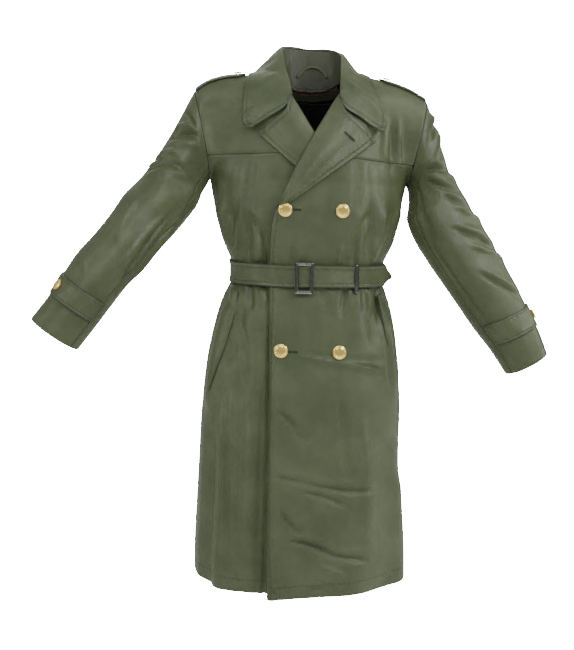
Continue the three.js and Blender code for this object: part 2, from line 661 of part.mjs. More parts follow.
// The half lining hangs clear of the back and closes up to it at the neck and shoulders.
function addBackLining() {
  const top = (turn) => {
    const atNeck = belowNeck(0, FACING_DEPTH + 3).height;
    return lerp(atNeck, 0.94, smoothstep(shareAt(turn, 0.9), 0.2, 0.5));
  };
  const rows = LINING_ROWS.map((z) => backRow(() => z - ARMPIT_Z, 18, LINING_REACH));
  steps(5, 0.2, 1).forEach((share) => rows.push(backRow((turn) => top(turn) * share, 18, LINING_REACH)));
  const grid = (lift) => rows.map((row) => row.map(({ face, turn, height }) => {
    const slack = lerp(LINING_SLACK.low, LINING_SLACK.high, smoothstep(height, 0, 0.6));
    return onForm(face, turn, height, lift - slack);
  }));
  add('back_lining', wall(grid(-CLOTH), grid(0)), COLOURS.lining);
}

// ---- sleeves ----

function sleeveColumn(side, along, column) {
  const table = SLEEVE_SECTIONS[side].map((row, at) => ({ ...row, at }));
  return read(table, 'at', along, column);
}

function sleeveFold(side, along, round) {
  return SLEEVE_FOLDS[side].reduce((sum, fold) => {
    const middle = fold.round + fold.lean * (along - fold.along);
    return sum + fold.raise * bump(round - middle, fold.wide) * bump(along - fold.along, fold.long);
  }, 0);
}

// A point of the sleeve's inner surface. `round` is -1 (inner side) over 0 (outer side) to 1,
// negative by the front.
function sleevePoint(side, along, round) {
  const out = vector(sleeveColumn(side, along, 'outX'), 0, sleeveColumn(side, along, 'outZ'));
  const inn = vector(sleeveColumn(side, along, 'inX'), 0, sleeveColumn(side, along, 'inZ'));
  const middle = out.clone().add(inn).multiplyScalar(0.5);
  const across = out.clone().sub(inn).multiplyScalar(0.5);
  const angle = Math.PI * round;
  const swell = 1 + sleeveFold(side, along, round) / 62;
  const point = middle.addScaledVector(across, Math.cos(angle) * swell);
  point.y = sleeveColumn(side, along, 'y') + sleeveColumn(side, along, 'deep') * Math.sin(angle) * swell;
  point.x *= sign(side);
  return point;
}

const SLEEVE_END = 11;

function sleeveNormal(side, along, round) {
  const across = sleevePoint(side, along, round + 0.02).sub(sleevePoint(side, along, round - 0.02));
  const above = sleevePoint(side, Math.max(along - 0.1, 0), round);
  const down = sleevePoint(side, Math.min(along + 0.1, SLEEVE_END), round).sub(above);
  return across.cross(down).normalize().multiplyScalar(-sign(side));
}

function onSleeve(side, along, round, lift) {
  return sleevePoint(side, along, round).addScaledVector(sleeveNormal(side, along, round), lift);
}

// The armhole's edge on the body, inner and outer, moved out by the seam gap.
function armholeRim(side) {
  const turn = sign(side) * SEAM_TURN;
  const vertex = (face, height) => {
    const inside = formPoint(face, turn, height);
    const outside = inside.clone().addScaledVector(rimNormal(face, turn, height), CLOTH);
    outside.z -= dropAtArmhole(height);
    if (height > 0.999) {
      inside.y = 0;
      outside.y = 0;
    }
    const round = (face === 'front' ? -1 : 1) * (1 - height);
    const shift = vector(sign(side) * GAP * 2, 0, 0);
    return { inside: inside.add(shift), outside: outside.add(shift), round };
  };
  const front = armholeHeights(side, 'front').map((height) => vertex('front', height));
  const back = armholeHeights(side, 'back').reverse().slice(1, -1).map((height) => vertex('back', height));
  return [...front, ...back];
}

const SLEEVE_STATIONS = [0.5, 1, 1.6, 2.3, 3, 3.7, 4.4, 5, 5.6, 6.2, 6.8, 7.5, 8.2, 9, 9.7, 10.4, 11];

const SLEEVE_SEAM_INSET = 0.22;
const SLEEVE_HEAD_INSET = 1.0;

function insetColumn(grid, column, toward) {
  return grid.map((row, i) => {
    const p = row[column];
    const inset = i === 0 ? SLEEVE_HEAD_INSET : SLEEVE_SEAM_INSET;
    const step = row[toward].clone().sub(p).normalize().multiplyScalar(inset);
    return p.clone().add(step);
  });
}

function sliceColumns(grid, columns) {
  const first = insetColumn(grid, columns[0], columns[1]);
  const last = insetColumn(grid, columns[columns.length - 1], columns[columns.length - 2]);
  return grid.map((row, i) => columns.map((c, k) => {
    if (k === 0) return first[i];
    return k === columns.length - 1 ? last[i] : row[c];
  }));
}

function addSleeve(side) {
  const rim = armholeRim(side);
  const inner = [rim.map((v) => v.inside)];
  const outer = [rim.map((v) => v.outside)];
  SLEEVE_STATIONS.forEach((along) => {
    inner.push(rim.map(({ round }) => sleevePoint(side, along, round)));
    outer.push(rim.map(({ round }) => onSleeve(side, along, round, CLOTH)));
  });
  const count = rim.length;
  const backSeam = count - BACK_SLEEVE_SEAM;
  const upper = steps(backSeam - FRONT_SLEEVE_SEAM, FRONT_SLEEVE_SEAM, backSeam).map(Math.round);
  const under = steps(FRONT_SLEEVE_SEAM + BACK_SLEEVE_SEAM, backSeam, count + FRONT_SLEEVE_SEAM)
    .map((c) => Math.round(c) % count);
  [['upper', upper], ['under', under]].forEach(([part, columns]) => {
    const geometry = wall(sliceColumns(inner, columns), sliceColumns(outer, columns));
    add(`sleeve_${part}_${side}`, geometry, COLOURS.sleeve);
  });
}

const SLEEVE_LINING = { gap: 0.6, thick: 1.2, stations: [9.7, 10.4, 10.97] };

function addSleeveLining(side) {
  const rounds = armholeRim(side).map(({ round }) => round);
  const row = (along, lift) => rounds.map((round) => onSleeve(side, along, round, lift));
  const grid = (lift) => SLEEVE_LINING.stations.map((along) => row(along, lift));
  const outside = -SLEEVE_LINING.gap;
  const geometry = wall(grid(outside - SLEEVE_LINING.thick), grid(outside), true);
  add(`sleeve_lining_${side}`, geometry, COLOURS.lining);
}

function addStrap(side) {
  const rounds = steps(16, STRAP.from[side], STRAP.to);
  const grid = (lift) => [STRAP.top, (STRAP.top + STRAP.bottom) / 2, STRAP.bottom]
    .map((along) => rounds.map((round) => onSleeve(side, along, round, lift)));
  const base = CLOTH + GAP + STRAP_LIFT;
  add(`strap_${side}`, wall(grid(base), grid(base + DOUBLE_CLOTH)), COLOURS.cloth);
  const along = (STRAP.top + STRAP.bottom) / 2;
  const round = STRAP_BUTTON_ROUND[side];
  addButton(
    `strap_button_${side}`,
    onSleeve(side, along, round, base + DOUBLE_CLOTH + GAP),
    sleeveNormal(side, along, round),
    STRAP_BUTTON,
  );
}

// ---- lapels and collar ----

// The lapel's outline, on the wearer's own side, from the fold's foot up the outer edge.
function lapelOuter(side, share) {
  const tip = LAPEL_TIP[side];
  return { x: lerp(LAPEL_FOOT.x, tip.x, share), z: lerp(LAPEL_FOOT.z, tip.z, share) };
}

function addLapel(side) {
  const rows = 10;
  const columns = 5;
  const notchShare = 0.25;
  const grid = steps(rows).map((share, i) => {
    const rollZ = lerp(BREAK_Z, GORGE_Z, share);
    const roll = { x: readStraight(FRONT_EDGE, 'z', rollZ, 'x'), z: rollZ };
    const outer = lapelOuter(side, i === 0 ? 0 : share ** 0.8);
    return steps(columns).map((reach) => {
      const corner = reach < notchShare
        ? { x: lerp(roll.x, NOTCH.x, reach / notchShare), z: lerp(roll.z, NOTCH.z - 7, reach / notchShare) }
        : {
          x: lerp(NOTCH.x, outer.x, (reach - notchShare) / (1 - notchShare)),
          z: lerp(NOTCH.z - 7, outer.z, (reach - notchShare) / (1 - notchShare)),
        };
      const blend = share ** 5;
      const x = lerp(lerp(roll.x, outer.x, reach), corner.x, blend);
      const z = lerp(lerp(roll.z, outer.z, reach), corner.z, blend);
      const soft = side === 'left' ? 5 : lerp(1.5, 5, smoothstep(z, -150, -90));
      const foot = side === 'left' ? 4.5 * (1 - smoothstep(share, 0, 0.2)) * smoothstep(reach, 0, 0.5) : 0;
      const base = frontLift(side, sign(side) * x, z) + CLOTH + GAP + 0.9;
      const lift = base + soft * Math.sin(Math.PI * Math.min(reach * 1.5 + 0.02, 1)) * 0.9 + foot;
      const at = locate('front', sign(side) * x, z);
      return { at, lift };
    });
  });
  add(`lapel_${side}`, formWall(rows, columns, CLOTH, (i, j) => ({
    face: 'front',
    ...grid[i][j].at,
    lift: grid[i][j].lift,
  })), COLOURS.lapel);
}

function neckPoint(share) {
  const reach = Math.abs(share);
  const x = Math.sign(share || 1) * read(NECK_SEAM, 'share', reach, 'x');
  const z = read(NECK_SEAM, 'share', reach, 'z');
  const facing = readStraight(NECK_SEAM, 'share', reach, 'face');
  if (Math.abs(facing) < 0.5) {
    const front = formPoint('front', locate('front', x, z).turn, locate('front', x, z).height);
    const back = formPoint('back', locate('back', x, z).turn, locate('back', x, z).height);
    return front.lerp(back, facing + 0.5);
  }
  const face = facing > 0 ? 'back' : 'front';
  const at = locate(face, x, z);
  return formPoint(face, at.turn, at.height);
}

function collarColumn(share, column) {
  return read(COLLAR_SECTIONS[share < 0 ? 'right' : 'left'], 'share', Math.abs(share), column);
}

// Direction away from the neck's axis at a point of the neck.
function awayFromNeck(point) {
  return vector(point.x, point.y - 4, 0).normalize();
}

function collarRoll(share) {
  const side = Math.sign(share || 1);
  const [x, y, z] = ['rollX', 'rollY', 'rollZ'].map((name) => collarColumn(share, name));
  return vector(side * x, y, z);
}

function collarEdge(share) {
  const side = Math.sign(share || 1);
  const [x, y, z] = ['edgeX', 'edgeY', 'edgeZ'].map((name) => collarColumn(share, name));
  return vector(side * x, y, z);
}

// The stand's middle surface: from the neck seam (up 0) to the top of the roll (up 1).
function standPoint(share, up) {
  const foot = neckPoint(share);
  foot.addScaledVector(awayFromNeck(foot), -3.2);
  return foot.lerp(collarRoll(share), up);
}

const COLLAR_SHARES = steps(26, -1, 1);

function addCollarStand() {
  const shares = steps(20, -STAND_REACH, STAND_REACH);
  const row = (up) => shares.map((share) => standPoint(share, up));
  const grid = [0.02, STAND_SHARE / 2, STAND_SHARE].map(row);
  add('collar_stand', sheetWall(grid, CLOTH), COLOURS.facing);
}

// The place on the form nearest to a point, by halving steps from a rough search.
function nearestPlace(face, point) {
  const distance = (turn, height) => formPoint(face, turn, height).distanceToSquared(point);
  const side = Math.sign(point.x || 1);
  let best = { turn: side * 30, height: 0.8 };
  let least = Infinity;
  let step = { turn: 8, height: 0.1 };
  const tryPlace = (turn, height) => {
    const far = distance(clamp(turn, -89, 89), clamp(height, 0.01, 1));
    if (far < least) {
      least = far;
      best = { turn: clamp(turn, -89, 89), height: clamp(height, 0.01, 1) };
    }
  };
  steps(5, 0.5, 1).forEach((height) => steps(7, 2, 72).forEach((turn) => tryPlace(side * turn, height)));
  for (let i = 0; i < 10; i += 1) {
    const { turn, height } = best;
    [-1, 0, 1].forEach((a) => [-1, 0, 1].forEach((b) => {
      tryPlace(turn + a * step.turn, height + b * step.height);
    }));
    step = { turn: step.turn / 1.8, height: step.height / 1.8 };
  }
  return best;
}

// Push a point straight out of the coat until it clears the form by `clear`.
function clearOfCoat(point, clear) {
  const face = point.y < 0 ? 'front' : 'back';
  const { turn, height } = nearestPlace(face, point);
  const foot = formPoint(face, turn, height);
  const normal = formNormal(face, turn, height);
  const stand = point.clone().sub(foot).dot(normal);
  return stand < clear ? point.clone().addScaledVector(normal, clear - stand) : point.clone();
}

function leafColumn(share) {
  const side = Math.sign(share || 1);
  const front = side > 0 ? 'left' : 'right';
  const clearance = (p, extra) => {
    const under = frontLift(front, p.x, p.z) + CLOTH + GAP;
    return clearOfCoat(p, under + CLOTH / 2 + extra);
  };
  const roll = collarRoll(share);
  const edge = collarEdge(share);
  const away = awayFromNeck(roll);
  const rise = roll.distanceTo(standPoint(share, 0));
  const radius = clamp(rise * (1 - STAND_SHARE) * 0.8, 1.1, COLLAR_ROLL);
  const up = roll.clone().sub(standPoint(share, 0)).normalize();
  const over = away.clone().addScaledVector(up, -away.dot(up)).normalize();
  const centre = roll.clone().addScaledVector(over, radius).addScaledVector(up, -radius);
  const column = [standPoint(share, STAND_SHARE + 0.02)];
  [0.5, 45, 90].forEach((angle) => {
    const a = degToRad(angle);
    const p = centre.clone().addScaledVector(over, -radius * Math.cos(a));
    p.addScaledVector(up, radius * Math.sin(a));
    column.push(Math.abs(share) > STAND_REACH && angle > 1 ? clearance(p, 0.4) : p);
  });
  const start = column[column.length - 1];
  const bow = away.clone().setZ(0.35).normalize().multiplyScalar(collarColumn(share, 'bow'));
  const curve = new THREE.CubicBezierCurve3(
    start,
    start.clone().addScaledVector(away, 8).addScaledVector(bow, 0.3),
    start.clone().lerp(edge, 0.62).add(bow),
    edge,
  );
  const notch = vector(side * (NOTCH.x + 3), roll.y - 10, NOTCH.z + 3);
  const cornerPath = [start, notch, notch.clone().lerp(edge, 0.5), edge];
  const corner = new THREE.CatmullRomCurve3(cornerPath, false, 'centripetal');
  const cornerBlend = smoothstep(Math.abs(share), 0.9, 1);
  steps(6).slice(1).forEach((reach) => {
    const p = curve.getPoint(reach).lerp(corner.getPoint(reach), cornerBlend);
    column.push(clearance(p, LEAF_CLEARANCE + LEAF_SOFTNESS * Math.sin(Math.PI * reach)));
  });
  return column;
}

function addCollarLeaf() {
  const columns = COLLAR_SHARES.map(leafColumn);
  const grid = columns[0].map((_, row) => columns.map((column) => column[row]));
  add('collar_leaf', sheetWall(grid, CLOTH), COLOURS.yoke);
}

function addHangingLoop() {
  const points = steps(8, -1, 1).map((t) => {
    const share = t * 0.2 + 0.03;
    const up = 0.27 + 0.27 * (1 - t * t);
    const p = standPoint(share, up);
    return p.addScaledVector(awayFromNeck(p), -(CLOTH / 2 + GAP + 1.7));
  });
  const section = new THREE.Shape(steps(5).slice(0, -1).map((t) => {
    const a = 2 * Math.PI * t;
    return new THREE.Vector2(1.2 * Math.cos(a), 2.2 * Math.sin(a));
  }));
  const curve = new THREE.CatmullRomCurve3(points);
  const sweep = { extrudePath: curve, steps: 16, bevelEnabled: false };
  const geometry = new THREE.ExtrudeGeometry(section, sweep);
  add('hanging_loop', geometry, COLOURS.facing);
}

// ---- epaulettes, pockets, belt ----

const EPAULETTE = { from: 0.985, to: 0.57, front: -33, back: 15 };
const RIDGE_DROP = 265;

function shoulderPlace(side, share, y) {
  const height = 1 - Math.abs(y) / RIDGE_DROP;
  return { face: y < 0 ? 'front' : 'back', turn: sign(side) * turnAt(share, height), height };
}

function addEpaulette(side) {
  const rows = 8;
  const columns = 5;
  const middle = (EPAULETTE.front + EPAULETTE.back) / 2;
  const place = (i, j) => {
    const along = i / rows;
    const narrow = lerp(1, 0.45, smoothstep(along, 0.84, 1));
    const y = middle + (lerp(EPAULETTE.front, EPAULETTE.back, j / columns) - middle) * narrow;
    const share = lerp(EPAULETTE.from, EPAULETTE.to, along);
    return { ...shoulderPlace(side, share, y), lift: CLOTH + GAP + 0.3 };
  };
  add(`epaulette_${side}`, formWall(rows, columns, DOUBLE_CLOTH, place), COLOURS.yoke);
  const at = shoulderPlace(side, 0.635, middle);
  const lift = CLOTH + GAP + 0.3 + DOUBLE_CLOTH + GAP;
  addButton(
    `epaulette_button_${side}`,
    onForm(at.face, at.turn, at.height, lift + 0.4),
    formNormal(at.face, at.turn, at.height),
    EPAULETTE_BUTTON,
  );
}

const WELTS = {
  right: { topX: -141, topZ: -444, footX: -190, footZ: -646, wide: 15 },
  left: { topX: 137, topZ: -444, footX: 185, footZ: -646, wide: 15 },
};

function addWelt(side) {
  const welt = WELTS[side];
  const rows = 6;
  add(`welt_${side}`, formWall(rows, 2, DOUBLE_CLOTH, (i, j) => {
    const share = i / rows;
    const narrowing = lerp(1, 0.55, share);
    const x = lerp(welt.topX, welt.footX, share) + sign(side) * welt.wide * narrowing * (j / 2);
    const z = lerp(welt.topZ, welt.footZ, share);
    return { face: 'front', ...locate('front', x, z), lift: frontLift(side, x, z) + CLOTH + GAP + 1.6 };
  }), COLOURS.cloth);
}

const BELT_LAYER = DOUBLE_CLOTH + GAP + 0.3;
const BELT_SLACK = 1.3;

// Stations of the belt from the buckle to the wearer's left, round the back and to the tip.
function beltStations() {
  const turnAtX = (x) => locate('front', x, BUCKLE.z).turn;
  const run = (face, turns, layerOf) => turns.map((turn, i) => ({ face, turn, layer: layerOf(i) }));
  const { under, from, to, over } = BELT_CLIMB;
  return [
    ...run('front', steps(11, turnAtX(BELT.start), SEAM_TURN), () => 0),
    ...run('back', steps(20, SEAM_TURN, -SEAM_TURN).slice(1, -1), () => 0),
    ...run('front', steps(8, -SEAM_TURN, turnAtX(under)), () => 0),
    ...run('front', steps(3, turnAtX(from), turnAtX(to)), (i) => (i + 1) / 4),
    ...run('front', steps(14, turnAtX(over), BELT.tipTurn), () => 1),
  ];
}

function addBelt() {
  const stations = beltStations();
  const last = stations.length - 1;
  const tipStations = 5;
  const grid = (extra) => [0, 0.5, 1].map((up) => stations.map(({ face, turn, layer }, i) => {
    const tip = clamp((i - (last - tipStations)) / tipStations, 0, 1);
    const point = tip > 0.85 ? 0.42 : 1;
    const z = lerp(BELT.bottom, BELT.top, 0.5 + (up - 0.5) * point) + BELT.tipRise * tip ** 1.5;
    const base = face === 'front' ? topLift(formPoint(face, turn, z - ARMPIT_Z).x, z) : CLOTH + GAP;
    const lift = base + BELT_SLACK + layer * BELT_LAYER + 13 * tip ** 2;
    return onForm(face, turn, z - ARMPIT_Z, lift + extra);
  }));
  add('belt', wall(grid(0), grid(DOUBLE_CLOTH)), COLOURS.cloth);
}

function placed(mesh, origin, normal, up = vector(0, 0, 1)) {
  const side = up.clone().cross(normal).normalize();
  const top = normal.clone().cross(side).normalize();
  mesh.quaternion.setFromRotationMatrix(new THREE.Matrix4().makeBasis(side, top, normal));
  mesh.position.copy(origin);
}

function beltFront(x) {
  const at = locate('front', x, BUCKLE.z);
  const lift = topLift(x, BUCKLE.z) + BELT_SLACK + BELT_LAYER + DOUBLE_CLOTH + GAP;
  const origin = onForm('front', at.turn, at.height, lift);
  return { origin, normal: formNormal('front', at.turn, at.height) };
}

function addBuckle() {
  const rectangle = (width, height, target) => {
    target.moveTo(-width / 2, -height / 2);
    target.lineTo(width / 2, -height / 2);
    target.lineTo(width / 2, height / 2);
    target.lineTo(-width / 2, height / 2);
    target.closePath();
    return target;
  };
  const frame = rectangle(BUCKLE.width, BUCKLE.height, new THREE.Shape());
  const holeWidth = BUCKLE.width - 2 * BUCKLE.bar;
  const holeHeight = BUCKLE.height - 2 * BUCKLE.bar;
  frame.holes.push(rectangle(holeWidth, holeHeight, new THREE.Path()));
  const geometry = new THREE.ExtrudeGeometry(frame, { depth: BUCKLE.thick, bevelEnabled: false });
  const mesh = add('buckle', geometry, COLOURS.steel, 0.8, 0.35);
  const { origin, normal } = beltFront(BELT.buckleX);
  placed(mesh, origin.addScaledVector(normal, 1), normal);
}

function addKeeper() {
  const half = KEEPER.height / 2;
  const inside = half - KEEPER.thick;
  const outline = new THREE.Shape([
    new THREE.Vector2(-half, -KEEPER.depth),
    new THREE.Vector2(-inside, -KEEPER.depth),
    new THREE.Vector2(-inside, 0),
    new THREE.Vector2(inside, 0),
    new THREE.Vector2(inside, -KEEPER.depth),
    new THREE.Vector2(half, -KEEPER.depth),
    new THREE.Vector2(half, KEEPER.thick),
    new THREE.Vector2(-half, KEEPER.thick),
  ]);
  const geometry = new THREE.ExtrudeGeometry(outline, { depth: KEEPER.width, bevelEnabled: false });
  geometry.translate(0, 0, -KEEPER.width / 2);
  geometry.rotateX(Math.PI / 2);
  geometry.rotateZ(Math.PI / 2);
  const mesh = add('keeper', geometry, COLOURS.steel, 0.8, 0.35);
  const { origin, normal } = beltFront(KEEPER.x);
  placed(mesh, origin.addScaledVector(normal, 1.5), normal);
}

// ---- buttons ----

function addButton(name, origin, normal, size) {
  const { radius, thick } = size;
  const profile = [
    new THREE.Vector2(0, 0),
    new THREE.Vector2(radius * 0.8, 0),
    new THREE.Vector2(radius, thick * 0.35),
    new THREE.Vector2(radius * 0.97, thick * 0.62),
    new THREE.Vector2(radius * 0.7, thick * 0.88),
    new THREE.Vector2(0, thick),
  ];
  const mesh = add(name, new THREE.LatheGeometry(profile, 16), COLOURS.gold, 0.9, 0.3);
  mesh.quaternion.setFromUnitVectors(vector(0, 1, 0), normal);
  mesh.position.copy(origin);
}

const FRONT_BUTTONS = [
  { name: 'button_upper_right', x: -54, z: -272 },
  { name: 'button_upper_left', x: 57, z: -272 },
  { name: 'button_lower_right', x: -56, z: -554 },
  { name: 'button_lower_left', x: 59, z: -555 },
];

function addFrontButtons() {
  FRONT_BUTTONS.forEach(({ name, x, z }) => {
    const at = locate('front', x, z);
    const origin = onForm('front', at.turn, at.height, topLift(x, z) - GAP / 2);
    addButton(name, origin, formNormal('front', at.turn, at.height), FRONT_BUTTON);
  });
}

// ---- the coat ----

addBack();
['right', 'left'].forEach((side) => {
  addFront(side);
  addLapel(side);
  addSleeve(side);
  addSleeveLining(side);
  addStrap(side);
  addEpaulette(side);
  addWelt(side);
});
addBackLining();
addNeckStrip('neck_tape', 1, NECK_TAPE_DEPTH, COLOURS.tape);
addNeckStrip('neck_facing', NECK_TAPE_DEPTH + GAP, FACING_DEPTH, COLOURS.facing);
addCollarStand();
addCollarLeaf();
addHangingLoop();
addBelt();
addBuckle();
addKeeper();
addFrontButtons();

export default coat;
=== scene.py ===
"""Looks of a double-breasted, belted trench coat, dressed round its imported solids.

Points are worked out in millimetres, in the row's own axes (+Z up, front facing -Y, the
wearer's left towards +X), and become metres when a mesh is made. Every panel lies on one form,
the inner surface of the coat's body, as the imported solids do.
"""

import logging
import math
from dataclasses import dataclass, field
from enum import Enum
from typing import Callable

import bpy
import numpy as np
from mathutils import Matrix, Vector


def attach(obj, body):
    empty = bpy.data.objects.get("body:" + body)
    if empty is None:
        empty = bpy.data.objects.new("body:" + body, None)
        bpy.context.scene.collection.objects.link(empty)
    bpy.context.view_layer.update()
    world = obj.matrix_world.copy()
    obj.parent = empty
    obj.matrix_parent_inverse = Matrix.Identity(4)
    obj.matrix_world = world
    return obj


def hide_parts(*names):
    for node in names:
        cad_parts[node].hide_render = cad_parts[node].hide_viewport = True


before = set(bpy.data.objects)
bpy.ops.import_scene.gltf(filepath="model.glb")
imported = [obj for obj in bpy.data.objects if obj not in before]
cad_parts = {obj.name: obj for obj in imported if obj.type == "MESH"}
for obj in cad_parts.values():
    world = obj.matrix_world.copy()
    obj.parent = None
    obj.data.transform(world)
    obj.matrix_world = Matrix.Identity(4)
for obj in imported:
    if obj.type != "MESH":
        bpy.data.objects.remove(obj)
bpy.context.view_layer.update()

LOG = logging.getLogger("trench_coat")
MM = 0.001

Array = np.ndarray
Value = float | np.ndarray
Colour = tuple[float, float, float, float]


# ---- sizes of the coat, in millimetres ----

CLOTH = 1.8
DOUBLE_CLOTH = 2.5
GAP = 0.3
ARMPIT_Z = -213
SQUARENESS = 2.45
FLAT_FROM, FLAT_TO, FLAT_RISE = -300, -117, 174
CHEST_BOW = 2.2
ARMHOLE_HOLD = 9
ARMHOLE_DEPTH_FRONT, ARMHOLE_DEPTH_BACK = 76, 78
CROWN_POWER_FRONT, CROWN_POWER_BACK = 2.0, 2.3
ARMHOLE_TIP_RIGHT, ARMHOLE_TIP_LEFT = 241, 236
ARMHOLE_LEAN = 1.3
NECK_SHARE = 0.31
LAPEL_FOOT = (-44, -256)
NECK_HALF_WIDTH = 75
NECK_SIDE_Z = 5
NECK_BACK_Z = -24
OVERLAP_LIFT = 7
OVERLAP_HALF_WIDTH = 82
OVERLAP_FADE = 70
HEM_OPENING, HEM_OPENING_START = 9, -560
HEM_LEVEL, HEM_SIDE_RISE = -1047, 11
HEM_UNDER_DROP, HEM_OVER_DROP, HEM_OVER_CORNER = 4, 5, 8
SEAM_TURN = 89.93
ARMHOLE_MITRE = 2.2
BODY_HALF, SLEEVE_HALF = 135, 62


def lerp(a: Value, b: Value, t: Value) -> Value:
    """The value at share t of the way from a to b."""
    return a + (b - a) * t


def smoothstep(x: Value, low: float, high: float) -> Value:
    """0 below low, 1 above high and a smooth rise between them."""
    t = np.clip((x - low) / (high - low), 0, 1)
    return t * t * (3 - 2 * t)


def bump(offset: Value, width: Value) -> Value:
    """A soft hump of height 1 at offset 0 that ends at width."""
    return 0.5 + 0.5 * np.cos(np.pi * np.minimum(np.abs(offset) / width, 1))


def unit(vectors: Array) -> Array:
    """The vectors, each scaled to length 1."""
    return vectors / np.maximum(np.linalg.norm(vectors, axis=-1, keepdims=True), 1e-9)


def dot(a: Array, b: Array) -> Array:
    """Products of pairs of vectors, kept as a last axis of one."""
    return np.sum(a * b, axis=-1, keepdims=True)


def run_along(grid: Array, axis: int) -> Array:
    """Length run so far along an axis of a row or grid of points."""
    first = np.take(grid, [0], axis)
    return np.cumsum(np.linalg.norm(np.diff(grid, axis=axis, prepend=first), axis=-1), axis=axis)


def grid_of(rows: Array, columns: Array) -> tuple[Array, Array]:
    """The row's and the column's value at every point of a grid."""
    along, across = np.meshgrid(rows, columns, indexing="ij")
    return along, across


def bisect(test: Callable[[Array], Array], low: float, high: float, shape: tuple) -> Array:
    """Finds where a rising test turns from negative to positive, for many values at once.

    Args:
        test: the rising function, of an array of the given shape.
        low: a value below every answer.
        high: a value above every answer.
        shape: the shape of the answer.

    Returns:
        An array of the answers.
    """
    a = np.full(shape, float(low))
    b = np.full(shape, float(high))
    for _ in range(32):
        middle = (a + b) / 2
        under = test(middle) < 0
        a = np.where(under, middle, a)
        b = np.where(under, b, middle)
    return (a + b) / 2


@dataclass(frozen=True)
class Table:
    """Rows of sizes with named columns, read along the first column."""

    names: str
    rows: tuple

    def column(self, name: str) -> Array:
        """All values of one named column."""
        place = self.names.split().index(name)
        return np.array([row[place] for row in self.rows], float)

    def read(self, at: Array, name: str, smooth: bool = True) -> Array:
        """Reads a column at places along the first column.

        Args:
            at: the places to read at.
            name: the column to read.
            smooth: whether to read a smooth curve or straight lines.

        Returns:
            The values, one for each place.
        """
        x = self.column(self.names.split()[0])
        y = self.column(name)
        place = np.clip(at, x[0], x[-1])
        i = np.searchsorted(x[1:-1], place)
        span = x[i + 1] - x[i]
        u = (place - x[i]) / span
        rise = y[i + 1] - y[i]
        if not smooth:
            return y[i] + rise * u
        before = np.maximum(np.arange(len(x)) - 1, 0)
        after = np.minimum(np.arange(len(x)) + 1, len(x) - 1)
        slope = (y[after] - y[before]) / (x[after] - x[before])
        start = slope[i] * span - rise
        end = slope[i + 1] * span - rise
        return y[i] + rise * u + u * (1 - u) * ((1 - u) * start - u * end)


BODY_LEVELS = Table(
    "z right left front back",
    (
        (-1060, 224, 221, 159, 166),
        (-985, 223, 218, 157, 163),
        (-900, 221, 211, 154, 160),
        (-830, 219, 206, 151, 156),
        (-760, 216, 204, 148, 152),
        (-690, 212, 204, 144, 147),
        (-627, 207, 200, 140, 141),
        (-575, 201, 194, 136, 135),
        (-535, 194, 189, 132, 129),
        (-499, 186, 182, 128, 123),
        (-467, 176, 173, 124, 117),
        (-446, 167, 164, 120, 112),
        (-427, 157, 157, 117, 108),
        (-404, 155, 155, 116, 107),
        (-381, 157, 157, 117, 108),
        (-345, 173, 170, 122, 113),
        (-300, 187, 182, 127, 118),
        (-260, 197, 193, 130, 122),
        (-213, 206, 203, 131, 124),
    ),
)
SHOULDER_LINE = Table(
    "share right left",
    (
        (0, 8, 7),
        (0.31, 5, 5),
        (0.56, -3, -4),
        (0.7, -6, -12),
        (0.84, -15, -24),
        (0.94, -27, -36),
        (1, -39, -44),
    ),
)
FRONT_EDGE = Table(
    "z x",
    (
        (-1060, -72),
        (-711, -78),
        (-550, -80),
        (-330, -82),
        (-291, -78),
        (-266, -70),
        (-248, -61),
        (-181, -29),
        (-122, 3),
        (-51, 47),
        (-22, 57),
        (-4, 69),
        (5, 75),
    ),
)
# Large soft folds of the body: face, middle turn, width in degrees, top, bottom, raise, lean.
BODY_FOLDS = (
    (-1, 74, 12, -150, -372, 6, -4),
    (-1, 56, 11, -200, -374, -5, 2),
    (-1, 42, 12, -285, -376, 4, 4),
    (-1, -70, 12, -190, -374, 5, 3),
    (-1, -52, 12, -220, -374, -5, 0),
    (-1, -36, 10, -300, -376, 4, -3),
    (-1, 60, 14, -432, -640, 5, 6),
    (-1, 74, 12, -432, -760, -5, 2),
    (-1, 38, 12, -432, -560, -4, 4),
    (-1, -62, 14, -432, -700, 5, -4),
    (-1, -46, 12, -432, -600, -4, -2),
    (-1, -44, 16, -640, -1100, 6, 2),
    (-1, -60, 14, -700, -1100, -6, 0),
    (-1, 52, 18, -720, -1100, -5, -6),
    (-1, 72, 14, -800, -1100, 5, -2),
    (1, -64, 14, -180, -374, 6, 4),
    (1, -44, 12, -240, -374, -5, 2),
    (1, -18, 12, -290, -376, 5, 0),
    (1, 12, 12, -270, -376, -4, 2),
    (1, 34, 12, -250, -374, 5, -2),
    (1, 60, 13, -190, -374, -5, -4),
    (1, -58, 16, -432, -1100, 7, 4),
    (1, -34, 14, -432, -1100, -7, 2),
    (1, -8, 16, -432, -900, 5, 3),
    (1, 18, 14, -432, -1100, -7, -2),
    (1, 44, 16, -432, -1100, 7, -4),
    (1, 68, 12, -432, -820, -5, -2),
)


class Side(Enum):
    """The wearer's side that a piece is on."""

    RIGHT = -1
    LEFT = 1

    @property
    def label(self) -> str:
        """The side's name as it stands in the names of nodes and pieces."""
        return self.name.lower()


class Face(Enum):
    """Front or back of the coat's body."""

    FRONT = -1
    BACK = 1


class Edge(Enum):
    """An edge of a sheet's grid."""

    FIRST_ROW = "first_row"
    LAST_ROW = "last_row"
    FIRST_COLUMN = "first_column"
    LAST_COLUMN = "last_column"


# ---- creases and unevenness ----


